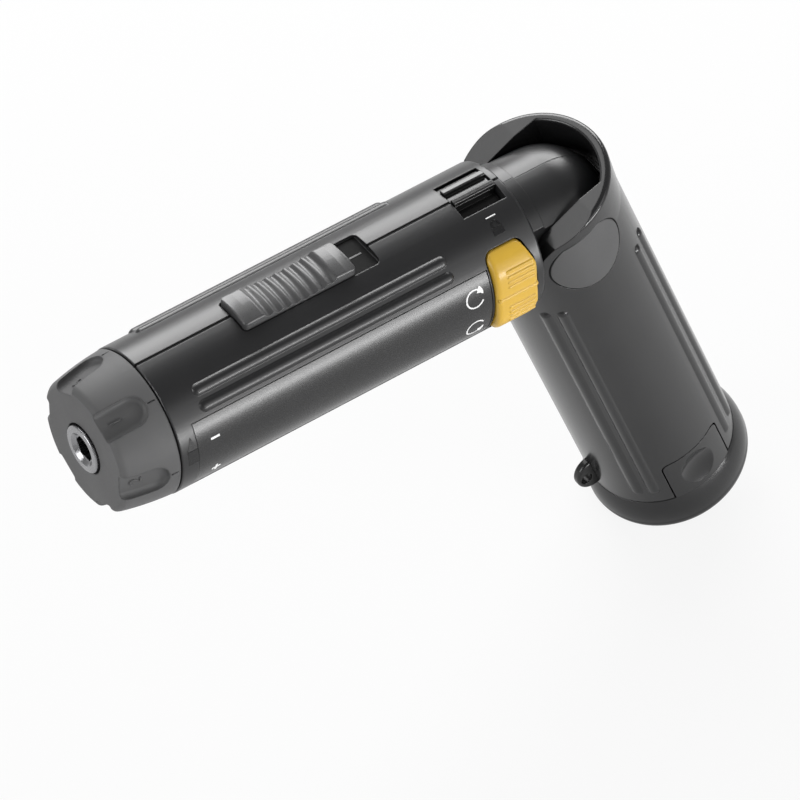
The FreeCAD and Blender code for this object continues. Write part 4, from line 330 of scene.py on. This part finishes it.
def add_object(name, data):
    """New object in the scene."""
    item = bpy.data.objects.new(name, data)
    bpy.context.scene.collection.objects.link(item)
    return item


def add_mesh(name, mesh, material):
    """New object from a mesh in bmesh form."""
    data = bpy.data.meshes.new(name)
    mesh.to_mesh(data)
    mesh.free()
    data.materials.append(material)
    return add_object(name, data)


def new_piece(name, mesh, look, body):
    """Piece that moves with a body."""
    bmesh.ops.recalc_face_normals(mesh, faces=mesh.faces)
    piece = add_mesh(name, mesh, materials[look])
    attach(piece, body)


def on_barrel(radius, x, angle):
    """Point on the barrel, in metres in the part's frame."""
    turn = math.radians(angle)
    return HINGE + Vector((x, radius * math.sin(turn), radius * math.cos(turn))) * MM


def barrel_patch(radius, x, angle):
    """Maps mark coordinates to the barrel: u towards the rear, v up round the barrel, h outwards (mm)."""
    def place(u, v, h):
        return on_barrel(radius + h, x - u, angle - math.degrees(v / radius))
    return place


def flat_patch(centre, right, up):
    """Maps mark coordinates to a plane through a centre, with h along its normal (mm)."""
    normal = right.cross(up)

    def place(u, v, h):
        return centre + (right * u + up * v + normal * h) * MM
    return place


def handle_patch(side):
    """Maps mark coordinates to one side of the handle: u towards its front, v up it, h outwards (mm)."""
    lean = Matrix.Rotation(math.radians(HANDLE_LEAN), 3, "Y")

    def place(u, v, h):
        return HINGE + lean @ Vector((u, side * math.sqrt((HANDLE_GAP_R + h) ** 2 - u ** 2), v)) * MM
    return place


def slot_centre(x):
    """Point in the middle of the slot's floor."""
    return HINGE + Vector((x, 0, SLOT_FLOOR)) * MM


def add_ribbon(mesh, place, points, half_widths, height=MARK_HEIGHT):
    """Thin raised strip along a line of points."""
    rows = []
    for i, (u, v) in enumerate(points):
        before, after = points[max(i - 1, 0)], points[min(i + 1, len(points) - 1)]
        along = Vector((after[0] - before[0], after[1] - before[1])).normalized()
        side = Vector((-along.y, along.x)) * half_widths[i]
        corners = [(u + side.x, v + side.y, -MARK_DEPTH), (u - side.x, v - side.y, -MARK_DEPTH),
                   (u - side.x, v - side.y, height), (u + side.x, v + side.y, height)]
        rows.append([mesh.verts.new(place(*corner)) for corner in corners])
    for low, high in zip(rows, rows[1:]):
        for i in range(len(low)):
            k = (i + 1) % len(low)
            mesh.faces.new((low[i], low[k], high[k], high[i]))
    mesh.faces.new(rows[0])
    mesh.faces.new(rows[-1])


def add_line(mesh, place, half_length, half_width, height=MARK_HEIGHT):
    """Straight strip along u through the patch's middle."""
    add_ribbon(mesh, place, [(-half_length, 0), (half_length, 0)], [half_width] * 2, height)


def add_plaque(mesh, place, outline, height=MARK_HEIGHT):
    """Raised flat shape with the given outline."""
    low = [mesh.verts.new(place(u, v, -MARK_DEPTH)) for u, v in outline]
    high = [mesh.verts.new(place(u, v, height)) for u, v in outline]
    for i in range(len(outline)):
        k = (i + 1) % len(outline)
        mesh.faces.new((low[i], low[k], high[k], high[i]))
    mesh.faces.new(low)
    mesh.faces.new(high)


def box_outline(half, low, high):
    """Corners of a rectangle centred along u."""
    return [(-half, low), (half, low), (half, high), (-half, high)]


def ring_points(radius, start, end, steps):
    """Points of an arc between two angles, in degrees from the u axis."""
    turns = [math.radians(start + (end - start) * i / steps) for i in range(steps + 1)]
    return [(radius * math.cos(t), radius * math.sin(t)) for t in turns]


def numeral(name, text, size, place, look, body, height):
    """Raised numeral from the built-in font, centred on a patch."""
    curve = bpy.data.curves.new(name, "FONT")
    curve.body = text
    curve.align_x = "CENTER"
    curve.align_y = "CENTER"
    curve.size = size
    curve.extrude = HALF
    curve.resolution_u = NUMERAL_CURVE_STEPS
    carrier = bpy.data.objects.new(name, curve)
    data = bpy.data.meshes.new_from_object(carrier)
    mesh = bmesh.new()
    mesh.from_mesh(data)
    bpy.data.objects.remove(carrier)
    bpy.data.curves.remove(curve)
    bpy.data.meshes.remove(data)
    bmesh.ops.remove_doubles(mesh, verts=mesh.verts, dist=NUMERAL_WELD)
    for vertex in mesh.verts:
        vertex.co = place(vertex.co.x, vertex.co.y, height if vertex.co.z > 0 else -MARK_DEPTH)
    new_piece(name, mesh, look, body)


def turning_arrows():
    """Open rings with an arrow head at one end."""
    arc = ring_points(ARROW_R, *ARROW_ARC, ARROW_STEPS)
    head = ring_points(ARROW_R, *ARROW_HEAD_ARC, ARROW_HEAD_STEPS)
    widths = [ARROW_HALF_WIDTH] * len(arc)
    widths += [ARROW_HEAD_HALF * (1 - i / len(head)) + ARROW_TIP_HALF for i in range(len(head))]
    for name, (angle, sense) in ARROWS.items():
        mesh = bmesh.new()
        points = [(u, sense * v) for u, v in arc + head]
        add_ribbon(mesh, barrel_patch(LABEL_R, ARROW_X, angle), points, widths)
        new_piece(name, mesh, "white_print", "housing")


def torque_signs():
    """Minus and plus on the label, for the dial's two senses."""
    mesh = bmesh.new()
    add_line(mesh, barrel_patch(LABEL_R, *MINUS_PLACE), SIGN_HALF, SIGN_LINE)
    new_piece("minus_sign", mesh, "white_print", "housing")
    arm = [(SIGN_HALF, -SIGN_LINE), (SIGN_HALF, SIGN_LINE), (SIGN_LINE, SIGN_LINE)]
    turns = [Matrix.Rotation(math.radians(FULL_TURN / PLUS_ARMS * i), 2) for i in range(PLUS_ARMS)]
    outline = [tuple(turn @ Vector(corner)) for turn in turns for corner in arm]
    mesh = bmesh.new()
    add_plaque(mesh, barrel_patch(LABEL_R, *PLUS_PLACE), outline)
    new_piece("plus_sign", mesh, "white_print", "housing")


def lock_marks():
    """White line and raised padlock beside the lock slider."""
    mesh = bmesh.new()
    add_line(mesh, barrel_patch(BARREL_R, *LOCK_LINE_PLACE), LOCK_LINE_HALF, LOCK_LINE_WIDTH)
    new_piece("lock_line", mesh, "white_print", "housing")
    mesh = bmesh.new()
    patch = barrel_patch(BARREL_R, *LOCK_SIGN_PLACE)
    add_plaque(mesh, patch, box_outline(LOCK_BODY_HALF, LOCK_BODY_LOW, LOCK_BODY_HIGH), RELIEF_HEIGHT)
    bow = [(u, v + SHACKLE_RISE) for u, v in ring_points(SHACKLE_R, HALF_TURN, 0, SHACKLE_STEPS)]
    shackle = [(-SHACKLE_R, LOCK_BODY_HIGH)] + bow + [(SHACKLE_R, LOCK_BODY_HIGH)]
    add_ribbon(mesh, patch, shackle, [SHACKLE_HALF] * len(shackle), RELIEF_HEIGHT)
    new_piece("lock_sign", mesh, "dark_relief", "housing")


def dial_pointer():
    """Arrow on the housing's front band: a head and a square tail."""
    mesh = bmesh.new()
    patch = barrel_patch(BARREL_R, *POINTER_PLACE)
    add_plaque(mesh, patch, [(-POINTER_HALF, 0), (POINTER_HALF, 0), (0, POINTER_RISE)], RELIEF_HEIGHT)
    add_plaque(mesh, patch, box_outline(POINTER_TAIL_HALF, -POINTER_TAIL, -POINTER_TAIL_GAP), RELIEF_HEIGHT)
    new_piece("dial_pointer", mesh, "dark_relief", "housing")


def seam_shade_strips():
    """Painted shade: dark strips along the seam between the barrel's halves, standing in for the shade in
    its deep gap.
    """
    for name, (angle, rear, front) in SEAM_SHADE_STRIPS.items():
        mesh = bmesh.new()
        patch = barrel_patch(SEAM_R, (rear + front) * HALF, angle)
        add_line(mesh, patch, (front - rear) * HALF, SEAM_HALF)
        new_piece(name, mesh, "shade_black", "housing")


def cap_gap_shade():
    """Painted shade in the gap: dark lines round the hinge caps, open at their straight upper side."""
    start = math.degrees(math.asin(CAP_LINE_TOP / CAP_LINE_R))
    outline = ring_points(CAP_LINE_R, HALF_TURN - start, FULL_TURN + start, CAP_LINE_STEPS)
    for name, side in CAP_SHADE_SIDES.items():
        mesh = bmesh.new()
        add_ribbon(mesh, handle_patch(side), outline, [CAP_LINE_HALF] * len(outline))
        new_piece(name, mesh, "shade_black", "handle")


def slot_shade_plates():
    """Dark matt plates on the floor of the slider's slot: painted shade of the recess."""
    for name, (rear, front) in SLOT_SHADE_PLATES.items():
        mesh = bmesh.new()
        patch = flat_patch(slot_centre((rear + front) * HALF), Vector((1, 0, 0)), Vector((0, 1, 0)))
        add_line(mesh, patch, (front - rear) * HALF, SLOT_PLATE_HALF, SLOT_PLATE_HEIGHT)
        new_piece(name, mesh, "shade_black", "housing")


def speed_numerals():
    """Raised numerals on the slot's floor, read from behind the tool, painted lighter than the black housing
    as a painted highlight for the light their relief catches.
    """
    for text, x in SPEED_NUMERALS.items():
        patch = flat_patch(slot_centre(x), Vector((0, -1, 0)), Vector((1, 0, 0)))
        numeral("speed_numeral_" + text, text, SPEED_NUMERAL_SIZE, patch, "painted_highlight_grey", "housing",
                MARK_DEPTH)


def dial_marks():
    """One numeral in each recess of the dial and a tick behind it."""
    slope = math.atan2(RECESS_REAR[1] - RECESS_FACE[1], RECESS_FACE[0] - RECESS_REAR[0])
    floor_r = RECESS_FACE[1] + (RECESS_FACE[0] - DIAL_NUMERAL_X) * math.tan(slope)
    for step in range(DIAL_STEPS):
        angle = DIAL_FIRST_ANGLE + FULL_TURN / DIAL_STEPS * step
        turn = Matrix.Rotation(math.radians(-angle), 3, "X")
        up = turn @ Vector((math.cos(slope), 0, -math.sin(slope)))
        patch = flat_patch(on_barrel(floor_r, DIAL_NUMERAL_X, angle), turn @ Vector((0, -1, 0)), up)
        label = str(step + 1)
        numeral("dial_numeral_" + label, label, DIAL_NUMERAL_SIZE, patch, "dial_grey", "dial",
                DIAL_NUMERAL_HEIGHT)
        mesh = bmesh.new()
        add_line(mesh, barrel_patch(TICK_R, TICK_X, angle), TICK_HALF, TICK_WIDTH)
        new_piece("dial_tick_" + label, mesh, "dark_relief", "dial")


def maths(tree, operation, *terms):
    """Result of an operation on sockets and constants."""
    node = tree.nodes.new("ShaderNodeMath")
    node.operation = operation
    for socket, term in zip(node.inputs, terms):
        if isinstance(term, bpy.types.NodeSocket):
            tree.links.new(term, socket)
        else:
            socket.default_value = term
    return node.outputs["Value"]


def floor_material():
    """White floor: bright to the camera and partly in reflections, with the object's shadow kept faintly."""
    material, tree, shader = node_material("studio_white")
    shader.inputs["Base Color"].default_value = FLOOR_COLOUR
    shader.inputs["Roughness"].default_value = FLOOR_ROUGHNESS
    path = tree.nodes.new("ShaderNodeLightPath")
    mirrored = maths(tree, "MAXIMUM", path.outputs["Is Glossy Ray"], path.outputs["Is Transmission Ray"])
    share = maths(tree, "MULTIPLY", mirrored, REFLECTED_WHITE)
    total = maths(tree, "MULTIPLY_ADD", path.outputs["Is Camera Ray"], CAMERA_WHITE, share)
    glow = tree.nodes.new("ShaderNodeEmission")
    glow.inputs["Strength"].default_value = 1
    mix = tree.nodes.new("ShaderNodeMixShader")
    tree.links.new(total, mix.inputs["Fac"])
    tree.links.new(shader.outputs["BSDF"], mix.inputs[1])
    tree.links.new(glow.outputs["Emission"], mix.inputs[2])
    tree.links.new(mix.outputs["Shader"], tree.nodes["Material Output"].inputs["Surface"])
    return material


def add_floor():
    """Level floor just below the object."""
    mesh = bmesh.new()
    height = cad_box[0].z - FLOOR_DROP * MM
    for x, y in ((-1, -1), (1, -1), (1, 1), (-1, 1)):
        mesh.verts.new((x * FLOOR_HALF, y * FLOOR_HALF, height))
    mesh.faces.new(mesh.verts)
    floor = add_mesh("floor", mesh, floor_material())


def softbox(name, offset, width, height, watts):
    """Rectangular studio light aimed at the object's middle."""
    lamp = bpy.data.lights.new(name, "AREA")
    lamp.shape = "RECTANGLE"
    lamp.size = width
    lamp.size_y = height
    lamp.energy = watts
    light = add_object(name, lamp)
    light.location = CENTRE + Vector(offset)
    light.rotation_euler = (-Vector(offset)).to_track_quat("-Z", "Y").to_euler()


def studio_world():
    """Bright near the horizon and dim overhead."""
    world = bpy.data.worlds.new("studio")
    world.use_nodes = True
    tree = world.node_tree
    place = tree.nodes.new("ShaderNodeTexCoord")
    axes = tree.nodes.new("ShaderNodeSeparateXYZ")
    tree.links.new(place.outputs["Generated"], axes.inputs["Vector"])
    fade = tree.nodes.new("ShaderNodeMapRange")
    fade.inputs["From Min"].default_value = 0
    fade.inputs["From Max"].default_value = ZENITH_FROM
    fade.inputs["To Min"].default_value = HORIZON_LIGHT
    fade.inputs["To Max"].default_value = ZENITH_LIGHT
    tree.links.new(axes.outputs["Z"], fade.inputs["Value"])
    background = tree.nodes["Background"]
    background.inputs["Color"].default_value = (1, 1, 1, 1)
    tree.links.new(fade.outputs["Result"], background.inputs["Strength"])
    return world


def add_camera():
    """Camera on the near left, ahead of the tool and above it."""
    lens = bpy.data.cameras.new("camera")
    lens.sensor_width = SENSOR_MM
    lens.lens = LENS_MM
    lens.clip_end = VIEW_REACH
    camera = add_object("camera", lens)
    forward = (-VIEW_BACK - VIEW_RIGHT * AIM_RIGHT - VIEW_UP * AIM_UP).normalized()
    right = forward.cross(VIEW_UP).normalized()
    axes = Matrix((right, right.cross(forward), -forward)).transposed()
    camera.matrix_world = Matrix.Translation(HINGE + VIEW_BACK * VIEW_DISTANCE) @ axes.to_4x4()
    bpy.context.scene.camera = camera


turning_arrows()
torque_signs()
lock_marks()
dial_pointer()
seam_shade_strips()
cap_gap_shade()
slot_shade_plates()
speed_numerals()
dial_marks()

add_floor()
for name, lamp in LAMPS.items():
    softbox(name, *lamp)
bpy.context.scene.world = studio_world()
bpy.context.scene.view_settings.view_transform = "Standard"
add_camera()
